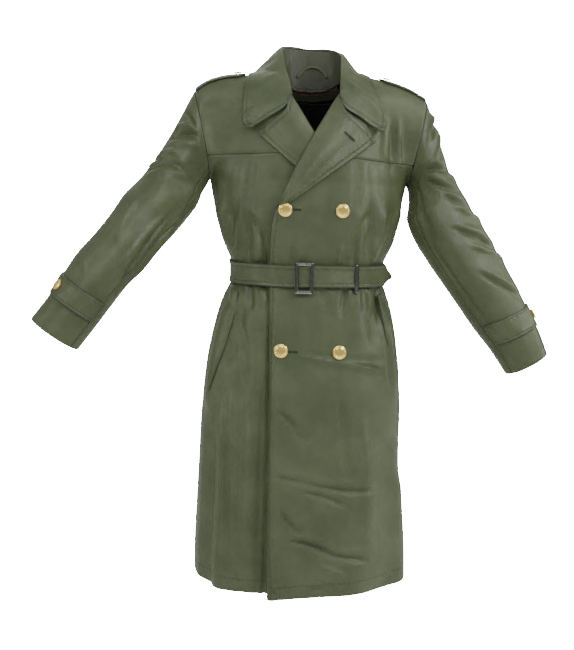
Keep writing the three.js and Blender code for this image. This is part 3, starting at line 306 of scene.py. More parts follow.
@dataclass(frozen=True)
class Crease:
    """One soft ridge, or trough where rise is negative, between two places of a face."""

    from_u: float
    from_v: float
    to_u: float
    to_v: float
    wide: float
    rise: float
    bend: float = 0.0

    def lift(self, u: Array, v: Array) -> Array:
        """How far the cloth stands off at places of the face.

        Args:
            u: places across the face.
            v: places up the face.

        Returns:
            The lift in millimetres.
        """
        run = (self.to_u - self.from_u, self.to_v - self.from_v)
        length = math.hypot(*run)
        along = ((u - self.from_u) * run[0] + (v - self.from_v) * run[1]) / length**2
        across = ((v - self.from_v) * run[0] - (u - self.from_u) * run[1]) / length
        across = across - self.bend * 4 * along * (1 - along)
        width = self.wide * (0.75 + 0.5 * np.clip(along, 0, 1))
        ends = smoothstep(along, -0.15, 0.3) * (1 - smoothstep(along, 0.7, 1.15))
        shape = bump(across, width) ** 1.25 - 0.3 * bump(across - 1.5 * width, 1.3 * width)
        return self.rise * shape * ends


def crease_lift(creases: tuple, u: Array, v: Array) -> Array:
    """The lift of all creases of a face together.

    Args:
        creases: the face's creases.
        u: places across the face.
        v: places up the face.

    Returns:
        The lift in millimetres.
    """
    total = np.zeros(np.broadcast(u, v).shape)
    for crease in creases:
        total = total + crease.lift(u, v)
    return total


@dataclass(frozen=True)
class Unevenness:
    """Low, seeded waves that wide cloth has all over."""

    seed: int
    height: float
    short: float = 70.0
    long: float = 210.0
    count: int = 14
    upright: float = 0.55

    def lift(self, u: Array, v: Array) -> Array:
        """The waves' height at places of a face.

        Args:
            u: places across the face.
            v: places up the face.

        Returns:
            The lift in millimetres.
        """
        random = np.random.default_rng(self.seed)
        total = np.zeros(np.broadcast(u, v).shape)
        for _ in range(self.count):
            wave = random.uniform(self.short, self.long)
            angle = random.uniform(0, math.pi)
            start = random.uniform(0, 2 * math.pi)
            run = u * math.cos(angle) + v * math.sin(angle) * self.upright
            total = total + np.sin(2 * math.pi * run / wave + start) * wave / self.long
        return self.height * total / math.sqrt(self.count)


FRONT_CREASES = (
    Crease(139, -72, 143, -184, 14, 3.4),
    Crease(171, -88, 177, -196, 11, 3.0),
    Crease(156, -96, 160, -190, 9, -2.6),
    Crease(152, -188, 145, -368, 25, 5.0),
    Crease(77, -362, 163, -205, 15, -4.2, 12),
    Crease(118, -236, 109, -368, 15, -3.4),
    Crease(128, -330, 124, -410, 9, 3.4),
    Crease(57, -338, 53, -410, 9, 3.4),
    Crease(88, -326, 82, -410, 10, -3.9),
    Crease(-168, -176, -98, -308, 22, 4.4, -8),
    Crease(-152, -222, -88, -338, 15, -3.4, -6),
    Crease(-144, -282, -151, -410, 13, 5.2),
    Crease(-108, -292, -103, -410, 12, 4.7),
    Crease(-126, -290, -127, -382, 11, -3.6),
    Crease(-86, -330, -88, -410, 8, -3.1),
    Crease(-192, -190, -168, -296, 14, -3.4),
    Crease(-40, -330, -32, -410, 9, -2.3),
    Crease(-149, -398, -153, -486, 11, 5.2),
    Crease(-122, -398, -117, -476, 10, -4.7),
    Crease(-97, -398, -93, -462, 9, 3.9),
    Crease(71, -398, 63, -482, 10, -4.7),
    Crease(92, -398, 94, -470, 9, 3.1),
    Crease(111, -398, 120, -480, 10, 4.7),
    Crease(136, -398, 144, -500, 11, -4.7),
    Crease(20, -398, 26, -462, 9, -2.6),
    Crease(166, -500, 183, -660, 17, 4.4),
    Crease(-20, -561, 62, -577, 6.5, 3.8, -2),
    Crease(56, -575, 148, -595, 9.4, 4.6),
    Crease(-56, -676, -17, -722, 7.2, -3.8, 4),
    Crease(-22, -719, 6, -735, 5.8, -3.0),
    Crease(-62, -804, -8, -817, 6.5, -3.5),
    Crease(-14, -815, 150, -838, 9.4, -4.1, -7),
    Crease(-12, -836, 86, -869, 8.6, -4.3, 5),
    Crease(-52, -872, -6, -923, 7.2, -3.8, -4),
    Crease(-32, -934, 58, -967, 8.6, -6.2, 4),
    Crease(52, -965, 126, -982, 9.4, -5.1),
    Crease(33, -987, 80, -1010, 7.2, 3.2),
    Crease(0, -1032, 48, -1037, 5.8, -2.4),
    Crease(110, -690, 128, -930, 26, 3.4, 8),
    Crease(62, -640, 84, -820, 15.8, -3.2),
    Crease(-126, -650, -119, -1010, 17, 4.6),
    Crease(-166, -650, -159, -1040, 15, -4.0),
    Crease(-92, -600, -88, -1100, 18, -4.0),
    Crease(-80, -470, -78, -1120, 8, -8.0),
    Crease(-138, -500, -122, -640, 16, -2.6, 6),
)
BACK_CREASES = (
    Crease(-150, -90, -178, -230, 18, 4.2, 6),
    Crease(-120, -110, -146, -300, 16, -3.4, 4),
    Crease(158, -96, 176, -240, 17, 4.0, -5),
    Crease(118, -130, 138, -320, 15, -3.6, -6),
    Crease(-60, -60, 20, -78, 16, -2.4, 5),
    Crease(-30, -250, -52, -410, 15, 3.8),
    Crease(12, -230, 24, -410, 14, -3.6),
    Crease(62, -280, 70, -410, 12, 3.4),
    Crease(-92, -300, -84, -410, 11, -3.2),
    Crease(104, -318, 98, -410, 10, 2.8),
    Crease(-128, -398, -138, -520, 12, 4.0),
    Crease(-96, -398, -92, -500, 11, -3.4),
    Crease(-52, -398, -58, -560, 13, 3.8),
    Crease(-8, -398, 2, -540, 12, -3.6),
    Crease(44, -398, 40, -520, 12, 3.2),
    Crease(88, -398, 100, -540, 12, -3.8),
    Crease(132, -398, 142, -500, 11, 3.4),
    Crease(-170, -620, 10, -700, 17, -3.2, 12),
    Crease(60, -660, 190, -720, 16, -2.8, -9),
    Crease(-120, -820, -20, -870, 15, -3.4, 8),
    Crease(30, -850, 160, -900, 14, 3.0, -7),
    Crease(-190, -940, -60, -980, 13, -2.8, 6),
)


# ---- the form of the body ----


@dataclass(frozen=True)
class CoatForm:
    """The inner surface of the body, by turn (-90 right side to 90 left side) and height.

    Height is millimetres below the armholes when negative, and the share of the way round the
    armhole, from its lowest point to the shoulder tip, when positive.
    """

    uneven: Unevenness = Unevenness(seed=7, height=1.5)

    def climb(self, height: Array) -> Array:
        """Share of the way up from the armhole's lowest point to the shoulder."""
        return (1 - np.cos(np.pi * np.maximum(height, 0))) / 2

    def half_width(self, left: Array, height: Array) -> Array:
        """Half width of the body to the left or right side.

        Args:
            left: whether a point is on the wearer's left.
            height: height as the form gives it.

        Returns:
            The half widths.
        """
        level = ARMPIT_Z + np.minimum(height, 0)
        half = np.where(left, BODY_LEVELS.read(level, "left"), BODY_LEVELS.read(level, "right"))
        tip = np.where(left, ARMHOLE_TIP_LEFT, ARMHOLE_TIP_RIGHT)
        return half + (tip - half) * self.climb(height) ** ARMHOLE_LEAN

    def ridge(self, share: Array, left: Array) -> Array:
        """Height of the shoulder line."""
        left_z = SHOULDER_LINE.read(share, "left")
        return np.where(left, left_z, SHOULDER_LINE.read(share, "right"))

    def flat(self, height: Array) -> Array:
        """How far the round section of the waist has turned into the chest's flatter one."""
        level = ARMPIT_Z + np.minimum(height, 0) + FLAT_RISE * self.climb(height)
        return smoothstep(level, FLAT_FROM, FLAT_TO)

    def share(self, turn: Array, height: Array) -> Array:
        """Share of the half width that a turn reaches.

        Args:
            turn: degrees from the centre.
            height: height as the form gives it.

        Returns:
            Shares from 0 to 1.
        """
        part = np.abs(turn) / 90
        around = np.sin(np.radians(np.abs(turn))) ** (2 / SQUARENESS)
        return lerp(around, part, self.flat(height))

    def turn_at(self, share: Array, height: Array) -> Array:
        """The turn, without its sign, that reaches a share of the half width."""
        goal = np.minimum(np.abs(share), 1)
        return bisect(lambda turn: self.share(turn, height) - goal, 0, 90, goal.shape)

    def fold(self, face: Array, turn: Array, z: Array) -> Array:
        """Height of the large folds.

        Args:
            face: -1 for the front, 1 for the back.
            turn: degrees from the centre.
            z: places up.

        Returns:
            The heights in millimetres.
        """
        total = np.zeros(z.shape)
        for fold_face, middle, wide, top, bottom, rise, lean in BODY_FOLDS:
            centre = middle + lean * ((z - top) / (bottom - top))
            inside = smoothstep(top - z, 0, 60) * smoothstep(z - bottom, 0, 40)
            total = total + np.where(face == fold_face, rise * bump(turn - centre, wide) * inside, 0)
        return total

    def point(self, face: Array, turn: Array, height: Array) -> Array:
        """Points of the form.

        Args:
            face: -1 for the front, 1 for the back.
            turn: degrees from the centre.
            height: height as the class says.

        Returns:
            The points, in millimetres.
        """
        face, turn, height = np.broadcast_arrays(
            np.asarray(face, float), np.asarray(turn, float), np.asarray(height, float)
        )
        left = turn >= 0
        front = face < 0
        share = self.share(turn, height)
        climb = self.climb(height)
        level = ARMPIT_Z + np.minimum(height, 0)
        z = np.where(height > 0, lerp(ARMPIT_Z, self.ridge(share, left), climb), level)
        crown = np.where(front, BODY_LEVELS.read(level, "front"), BODY_LEVELS.read(level, "back"))
        power = np.where(front, CROWN_POWER_FRONT, CROWN_POWER_BACK)
        crown = crown * np.sqrt(np.maximum(1 - climb**power, 0))
        deep = np.where(front, ARMHOLE_DEPTH_FRONT, ARMHOLE_DEPTH_BACK)
        arm = np.where(height > 0, deep * np.sin(np.pi * height), 0)
        around = np.maximum(1 - np.minimum(share, 1) ** SQUARENESS, 0) ** (1 / SQUARENESS)
        bow = lerp(around, 1 - share**CHEST_BOW, self.flat(height))
        near = lerp(np.minimum(share, 1) ** ARMHOLE_HOLD, 1 - bow, smoothstep(climb, 0, 1))
        depth = crown * bow + arm * near
        swell = 1 + self.fold(face, turn, z) / BODY_HALF
        x = np.where(left, 1, -1) * share * self.half_width(left, height)
        return np.stack([x * swell, face * depth * swell, z], -1)

    def normal(self, face: Array, turn: Array, height: Array) -> Array:
        """Directions straight out of the form.

        Args:
            face: -1 for the front, 1 for the back.
            turn: degrees from the centre.
            height: height as the form gives it.

        Returns:
            The directions, of length 1.
        """
        face, turn, height = np.broadcast_arrays(
            np.asarray(face, float), np.asarray(turn, float), np.asarray(height, float)
        )
        over = height > 0
        under = np.where(over, np.maximum(height - 0.012, 0.0001), height - 3)
        above = np.where(over, np.minimum(height + 0.012, 1), np.minimum(height + 3, 0))
        across = self.point(face, np.minimum(turn + 1.2, 90), height)
        across = across - self.point(face, np.maximum(turn - 1.2, -90), height)
        up = self.point(face, turn, above) - self.point(face, turn, under)
        return unit(np.cross(across, up)) * np.where(face < 0, 1, -1)[..., None]

    def lay(self, face: Array, turn: Array, height: Array, lift: Array) -> Array:
        """Points that stand off the form by lift and its unevenness.

        Args:
            face: -1 for the front, 1 for the back.
            turn: degrees from the centre.
            height: height as the form gives it.
            lift: distance from the form.

        Returns:
            The points, in millimetres.
        """
        base = self.point(face, turn, height)
        rise = lift + self.uneven.lift(base[..., 0], base[..., 2])
        return base + self.normal(face, turn, height) * rise[..., None]

    def locate(self, x: Array, z: Array) -> tuple[Array, Array]:
        """Turn and height of the points of the form at x and z.

        Args:
            x: places across.
            z: places up.

        Returns:
            Arrays of turns and heights.
        """
        x, z = np.broadcast_arrays(np.asarray(x, float), np.asarray(z, float))
        left = x >= 0

        def share(height: Array) -> Array:
            """Share of the half width at a height.

            Args:
                height: height as the form gives it.

            Returns:
                Shares from 0 to 1.
            """
            return np.minimum(np.abs(x) / self.half_width(left, height), 1)

        def level(height: Array) -> Array:
            """Level of the point above x at a height."""
            return lerp(ARMPIT_Z, self.ridge(share(height), left), self.climb(height))

        above = bisect(lambda height: level(height) - z, 0, 1, x.shape)
        height = np.where(z <= ARMPIT_Z, z - ARMPIT_Z, above)
        return np.where(left, 1, -1) * self.turn_at(share(height), height), height

    def nearest(self, face: Array, points: Array) -> tuple[Array, Array]:
        """Turns and heights of the places of the form nearest to points.

        Args:
            face: -1 or 1 for each point.
            points: the points, in millimetres.

        Returns:
            Arrays of turns and heights.
        """
        side = np.where(points[..., 0] < 0, -1.0, 1.0)
        best_turn = side * 30
        best_height = np.full(side.shape, 0.8)
        least = np.full(side.shape, np.inf)
        heights, turns = np.linspace(0.5, 1, 6), np.linspace(2, 72, 8)
        tries = [(side * turn, height) for height in heights for turn in turns]
        turn_step, height_step = 8.0, 0.1
        for _ in range(12):
            for turn, height in tries:
                turn = np.clip(turn, -89, 89)
                height = np.clip(height, 0.01, 1) + np.zeros(side.shape)
                far = np.sum((self.point(face, turn, height) - points) ** 2, -1)
                closer = far < least
                least = np.where(closer, far, least)
                best_turn = np.where(closer, turn, best_turn)
                best_height = np.where(closer, height, best_height)
            steps = [(a, b) for a in (-1, 0, 1) for b in (-1, 0, 1)]
            tries = [(best_turn + a * turn_step, best_height + b * height_step) for a, b in steps]
            turn_step, height_step = turn_step / 1.8, height_step / 1.8
        return best_turn, best_height

    def clear(self, points: Array, gap: Array) -> Array:
        """Points pushed straight out of the coat until they stand off it by gap.

        Args:
            points: the points, in millimetres.
            gap: least distance from the form.

        Returns:
            The moved points.
        """
        face = np.where(points[..., 1] < 0, -1.0, 1.0)
        turn, height = self.nearest(face, points)
        foot = self.point(face, turn, height)
        normal = self.normal(face, turn, height)
        gap = gap + self.uneven.lift(points[..., 0], points[..., 2])
        short = np.maximum(gap - dot(points - foot, normal)[..., 0], 0)
        return points + normal * short[..., None]


FORM = CoatForm()


def front_lift(left: bool, x: Array, z: Array) -> Array:
    """How far a front stands off the form where the fronts overlap.

    Args:
        left: whether it is the left front.
        x: places across.
        z: places up.

    Returns:
        The distance from the form.
    """
    if not left:
        return np.zeros(np.broadcast(x, z).shape)
    fade = 1 - smoothstep(x, OVERLAP_HALF_WIDTH, OVERLAP_HALF_WIDTH + OVERLAP_FADE)
    shoulder = 1 - smoothstep(z, -100, -30) * smoothstep(x, 20, 60)
    opening = HEM_OPENING * smoothstep(HEM_OPENING_START - z, 0, 480) * (1 - smoothstep(x, -70, 40))
    return OVERLAP_LIFT * fade * shoulder + opening


def top_lift(x: Array, z: Array) -> Array:
    """Lift of whatever lies on the outer cloth of the front.

    Args:
        x: places across.
        z: places up.

    Returns:
        The distance from the form.
    """
    step = OVERLAP_LIFT * (1 - smoothstep(-x, OVERLAP_HALF_WIDTH + 6, OVERLAP_HALF_WIDTH + 55))
    over = x > -OVERLAP_HALF_WIDTH - 3
    return np.where(over, front_lift(True, x, z), step) + CLOTH + GAP


# ---- meshes ----


def make_object(
    name: str,
    points: Array,
    faces: list,
    uv: Array | None = None,
    attributes: dict[str, Array] | None = None,
) -> bpy.types.Object:
    """Makes a closed, smooth mesh object with its faces out.

    Args:
        name: the piece's name.
        points: vertices in millimetres.
        faces: lists of vertex numbers.
        uv: place of each vertex on the flat cloth, in metres.
        attributes: values of each vertex by name.

    Returns:
        The object, linked to the scene.
    """
    quads = [np.asarray(face) for face in faces]
    volume = 0.0
    for group in quads:
        a = points[group[:, 0]]
        for k in range(1, group.shape[1] - 1):
            volume += np.sum(a * np.cross(points[group[:, k]], points[group[:, k + 1]]))
    if volume < 0:
        quads = [group[:, ::-1] for group in quads]
    mesh = bpy.data.meshes.new(name)
    mesh.from_pydata((points * MM).tolist(), [], [row for group in quads for row in group.tolist()])
    mesh.validate()
    mesh.shade_smooth()
    if uv is not None:
        layer = mesh.uv_layers.new(name="cloth")
        loops = np.empty(len(mesh.loops), int)
        mesh.loops.foreach_get("vertex_index", loops)
        layer.data.foreach_set("uv", uv[loops].astype(np.float32).ravel())
    for key, values in (attributes or {}).items():
        attribute = mesh.attributes.new(key, "FLOAT", "POINT")
        attribute.data.foreach_set("value", values.astype(np.float32).ravel())
    piece = bpy.data.objects.new(name, mesh)
    bpy.context.scene.collection.objects.link(piece)
    return piece


def tube_faces(rings: int, count: int, capped: bool = True) -> list[Array]:
    """Faces of a tube of rings, closed by caps or joined end to end.

    Args:
        rings: the number of rings.
        count: the number of points in each ring.
        capped: whether caps close the ends.

    Returns:
        Lists of vertex numbers.
    """
    here = np.arange(count)
    after = (here + 1) % count
    faces = []
    for ring in range(rings - 1 if capped else rings):
        low, high = ring * count, (ring + 1) % rings * count
        faces.append(np.stack([low + here, low + after, high + after, high + here], -1))
    if capped:
        faces += [here[None, ::-1], ((rings - 1) * count + here)[None]]
    return faces


def grid_normals(grid: Array) -> Array:
    """Directions square to a grid of points.

    Args:
        grid: rows and columns of points.

    Returns:
        The directions, of length 1.
    """
    across = np.gradient(grid, axis=1)
    along = np.gradient(grid, axis=0)
    return unit(np.cross(across, along))


def relax(grid: Array, weight: Array, rounds: int) -> Array:
    """Evens out the inside of a grid and leaves its edges where they are.

    Args:
        grid: rows and columns of points.
        weight: how strongly each point moves, 0 to 1.
        rounds: how often it is done.

    Returns:
        The smoother grid.
    """
    made = grid.copy()
    for _ in range(rounds):
        mean = (made[:-2, 1:-1] + made[2:, 1:-1] + made[1:-1, :-2] + made[1:-1, 2:]) / 4
        made[1:-1, 1:-1] += (mean - made[1:-1, 1:-1]) * weight[1:-1, 1:-1, None]
    return made


def round_corner(grid: Array, radius: float, last_row: bool, last_column: bool) -> Array:
    """Rounds one corner of a grid by drawing its points in.

    Args:
        grid: rows and columns of points.
        radius: the corner's radius in millimetres.
        last_row: whether the corner is in the last row.
        last_column: whether the corner is in the last column.

    Returns:
        A grid with the corner rounded.
    """
    turned = grid[:: -1 if last_row else 1, :: -1 if last_column else 1]
    across, up = run_along(turned, 1), run_along(turned, 0)
    made = turned.copy()
    for i, j in zip(*np.nonzero((across < radius) & (up < radius))):
        reach = np.array([radius - across[i, j], radius - up[i, j]])
        scale = reach.max() / max(np.hypot(*reach), 1e-9)
        column = np.interp(radius - reach[0] * scale, across[i], np.arange(across.shape[1]))
        row = np.interp(radius - reach[1] * scale, up[:, j], np.arange(up.shape[0]))
        r, c = int(row), int(column)
        r, c = min(r, turned.shape[0] - 2), min(c, turned.shape[1] - 2)
        low = lerp(turned[r, c], turned[r, c + 1], column - c)
        high = lerp(turned[r + 1, c], turned[r + 1, c + 1], column - c)
        made[i, j] = lerp(low, high, row - r)
    return made[:: -1 if last_row else 1, :: -1 if last_column else 1]


@dataclass
class Sheet:
    """A thin closed shell of cloth between an outer and an inner grid of points."""

    name: str
    outer: Array
    inner: Array
    stitched: dict[Edge, float] = field(default_factory=dict)
    wrapped: bool = False

    @classmethod
    def about(cls, name: str, middle: Array, thick: float, stitched: dict | None = None) -> "Sheet":
        """A sheet of even thickness about a grid of middle points."""
        normals = grid_normals(middle) * thick / 2
        return cls(name, middle + normals, middle - normals, stitched or {})

    def distances(self) -> dict[Edge, Array]:
        """Each point's distance from every edge of the grid."""
        across, up = run_along(self.outer, 1), run_along(self.outer, 0)
        return {
            Edge.FIRST_COLUMN: across,
            Edge.LAST_COLUMN: across[:, -1:] - across,
            Edge.FIRST_ROW: up,
            Edge.LAST_ROW: up[-1:] - up,
        }

    def build(self) -> bpy.types.Object:
        """Makes the shell's mesh with its flat places and its distances to edge and stitching.

        Returns:
            The object.
        """
        rows, columns = self.outer.shape[:2]
        spans = columns if self.wrapped else columns - 1
        count = rows * columns
        number = np.arange(count).reshape(rows, columns)
        here = np.arange(spans)
        there = (here + 1) % columns
        low, high = number[:-1], number[1:]
        quads = np.stack([low[:, here], low[:, there], high[:, there], high[:, here]], -1).reshape(-1, 4)
        faces = [quads, quads[:, ::-1] + count]
        if self.wrapped:
            loops = [number[0], number[-1][::-1]]
        else:
            ring = [number[0], number[1:, -1], number[-1, -2::-1], number[-2:0:-1, 0]]
            loops = [np.concatenate(ring)]
        outer = self.outer.reshape(-1, 3)
        inner = self.inner.reshape(-1, 3)
        middle = (outer + inner) / 2
        points = [outer, inner]
        source = [np.arange(count), np.arange(count)]
        start = 2 * count
        for loop in loops:
            out = self._outward(loop, middle, number)
            thick = np.linalg.norm(outer[loop] - inner[loop], axis=-1, keepdims=True)
            points.append(middle[loop] + out * thick * 0.4)
            source.append(loop)
            rim = start + np.arange(len(loop))
            after = np.roll(np.arange(len(loop)), -1)
            faces.append(np.stack([loop[after], loop, rim, rim[after]], -1))
            faces.append(np.stack([rim[after], rim, loop + count, loop[after] + count], -1))
            start += len(loop)
        source = np.concatenate(source)
        distances = self.distances()
        uv = np.stack([distances[Edge.FIRST_COLUMN], distances[Edge.FIRST_ROW]], -1).reshape(-1, 2) * MM
        values = {key: value.ravel()[source] for key, value in self._marks(distances).items()}
        return make_object(self.name, np.concatenate(points), faces, uv[source], values)

    def _outward(self, loop: Array, middle: Array, number: Array) -> Array:
        """Directions out of the sheet at the points of its rim.

        Args:
            loop: vertex numbers of the rim.
            middle: points halfway through the cloth.
            number: the grid of vertex numbers.

        Returns:
            The directions, of length 1.
        """
        rows, columns = number.shape
        row, column = np.divmod(loop, columns)
        inside_row = np.clip(row, 1, rows - 2)
        inside_column = column if self.wrapped else np.clip(column, 1, columns - 2)
        return unit(middle[loop] - middle[number[inside_row, inside_column]])

    def _marks(self, distances: dict[Edge, Array]) -> dict[str, Array]:
        """Distance to the nearest edge, to the nearest stitch line, and the run along it.

        Args:
            distances: distances from the edges.

        Returns:
            Values of each point by name.
        """
        edges = [Edge.FIRST_ROW, Edge.LAST_ROW] if self.wrapped else list(Edge)
        edge = np.min([distances[key] for key in edges], axis=0)
        stitch = np.full(edge.shape, 60.0)
        along = np.zeros(edge.shape)
        for key, inset in self.stitched.items():
            far = distances[key] - inset
            rows = key in (Edge.FIRST_ROW, Edge.LAST_ROW)
            run = distances[Edge.FIRST_COLUMN if rows else Edge.FIRST_ROW]
            closer = np.abs(far) < np.abs(stitch)
            stitch = np.where(closer, far, stitch)
            along = np.where(closer, run, along)
        return {"edge": edge, "stitch": np.clip(stitch, -60, 60), "along": along}

    def line(self, key: Edge, inset: float) -> tuple[Array, Array]:
        """The line that runs at a distance from an edge, on the outer surface.

        Args:
            key: the edge.
            inset: distance from it in millimetres.

        Returns:
            Points of the line and the directions out of the cloth there.
        """
        grid, far = self.outer, self.distances()[key]
        normals = grid_normals(grid)
        normals = normals * np.sign(dot(normals, unit(grid - self.inner)))
        if key in (Edge.FIRST_ROW, Edge.LAST_ROW):
            grid, far, normals = grid.swapaxes(0, 1), far.T, normals.swapaxes(0, 1)
        points = []
        ups = []
        for row, distance, normal in zip(grid, far, normals):
            order = np.argsort(distance)
            points.append([np.interp(inset, distance[order], row[order, k]) for k in range(3)])
            ups.append([np.interp(inset, distance[order], normal[order, k]) for k in range(3)])
        return np.array(points), unit(np.array(ups))

    def cut(self) -> tuple[float, float, float]:
        """Width, length and area of the flat cloth, in metres and square metres."""
        distances = self.distances()
        width = distances[Edge.FIRST_COLUMN][:, -1].max() * MM
        length = distances[Edge.FIRST_ROW][-1].max() * MM
        a = self.outer[1:, 1:] - self.outer[:-1, :-1]
        b = self.outer[1:, :-1] - self.outer[:-1, 1:]
        area = np.sum(np.linalg.norm(np.cross(a, b), axis=-1)) / 2 * MM * MM
        return width, length, area


@dataclass
class Stitching:
    """Rows of real stitches, gathered into one piece."""

    name: str
    pitch: float = 3.4
    length: float = 2.5
    radius: float = 0.3
    runs: list = field(default_factory=list)

    def add(self, line: Array, out: Array, keep: Callable[[Array], Array] | None = None) -> None:
        """Adds a row of stitches along a line.

        Args:
            line: points of the line.
            out: directions out of the cloth.
            keep: says which stitches to keep, from their places.
        """
        run = run_along(line, 0)
        places = np.arange(self.pitch / 2, run[-1], self.pitch)

        def at(where: Array, values: Array) -> Array:
            """The values of the line at places along it."""
            return np.stack([np.interp(where, run, values[:, k]) for k in range(3)], -1)

        centre, up = at(places, line), unit(at(places, out))
        along = unit(at(places + 0.5, line) - at(places - 0.5, line))
        if keep is not None:
            kept = keep(centre)
            centre, up, along = centre[kept], up[kept], along[kept]
        self.runs.append((centre, up, along))

    def build(self, sides: int = 6) -> bpy.types.Object:
        """Makes the mesh of all stitches.

        Args:
            sides: sides of each stitch's section.

        Returns:
            The object.
        """
        centre, up, along = (np.concatenate([run[k] for run in self.runs]) for k in range(3))
        side = unit(np.cross(along, up))
        up = np.cross(side, along)
        rings = [(-0.5, 0.35, -0.15), (-0.3, 1.0, 0.12), (0.3, 1.0, 0.12), (0.5, 0.35, -0.15)]
        angles = 2 * np.pi * np.arange(sides) / sides
        points = []
        for place, wide, height in rings:
            for angle in angles:
                spoke = up * math.cos(angle) + side * math.sin(angle)
                middle = centre + along * self.length * place + up * height * self.radius * 2
                points.append(middle + spoke * self.radius * wide)
        block = len(rings) * sides
        points = np.stack(points, 1).reshape(-1, 3)
        walls = []
        for ring in range(len(rings) - 1):
            for k in range(sides):
                after = (k + 1) % sides
                a, b = ring * sides + k, ring * sides + after
                walls.append([a, b, b + sides, a + sides])
        last = block - sides
        caps = [
            [0, sides - 1, sides - 2, 1],
            [1, sides - 2, sides - 3, 2],
            [last + 1, last + sides - 2, last + sides - 1, last],
            [last + 2, last + 3, last + 4, last + 1],
        ]
        offsets = block * np.arange(len(centre))[:, None, None]
        faces = (np.array(walls + caps)[None] + offsets).reshape(-1, 4)
        return make_object(self.name, points, [faces])


# ---- shader nodes ----


class Sock:
    """A node's output socket, which adds Math nodes when it is used in an expression."""

    def __init__(self, nodes: "Nodes", socket: bpy.types.NodeSocket) -> None:
        """Keeps the tree and the socket."""
        self.nodes = nodes
        self.socket = socket

    def _math(self, operation: str, *values: object) -> "Sock":
        """A Math node of this operation on the values."""
        return self.nodes.make("ShaderNodeMath", {"operation": operation}, dict(enumerate(values)))

    def __add__(self, other: object) -> "Sock":
        """self + other."""
        return self._math("ADD", self, other)

    def __radd__(self, other: object) -> "Sock":
        """other + self."""
        return self._math("ADD", other, self)

    def __sub__(self, other: object) -> "Sock":
        """self - other."""
        return self._math("SUBTRACT", self, other)

    def __rsub__(self, other: object) -> "Sock":
        """other - self."""
        return self._math("SUBTRACT", other, self)

    def __mul__(self, other: object) -> "Sock":
        """self * other."""
        return self._math("MULTIPLY", self, other)

    def __rmul__(self, other: object) -> "Sock":
        """other * self."""
        return self._math("MULTIPLY", other, self)

    def __truediv__(self, other: object) -> "Sock":
        """self / other."""
        return self._math("DIVIDE", self, other)

    def __rpow__(self, other: object) -> "Sock":
        """other ** self."""
        return self._math("POWER", other, self)

    def sine(self) -> "Sock":
        """The sine."""
        return self._math("SINE", self)

    def ramp(self, low: float, high: float) -> "Sock":
        """A smooth rise from 0 at low to 1 at high.

        Args:
            low: the value where the rise starts.
            high: the value where it ends.

        Returns:
            The risen value.
        """
        settings = {"interpolation_type": "SMOOTHSTEP"}
        return self.nodes.make(
            "ShaderNodeMapRange", settings, {"Value": self, "From Min": low, "From Max": high}
        )

    def near(self, width: float) -> "Sock":
        """A soft peak of 1 where the value is 0, about width wide to each side."""
        return math.e ** (-1 * (self / width) * (self / width))


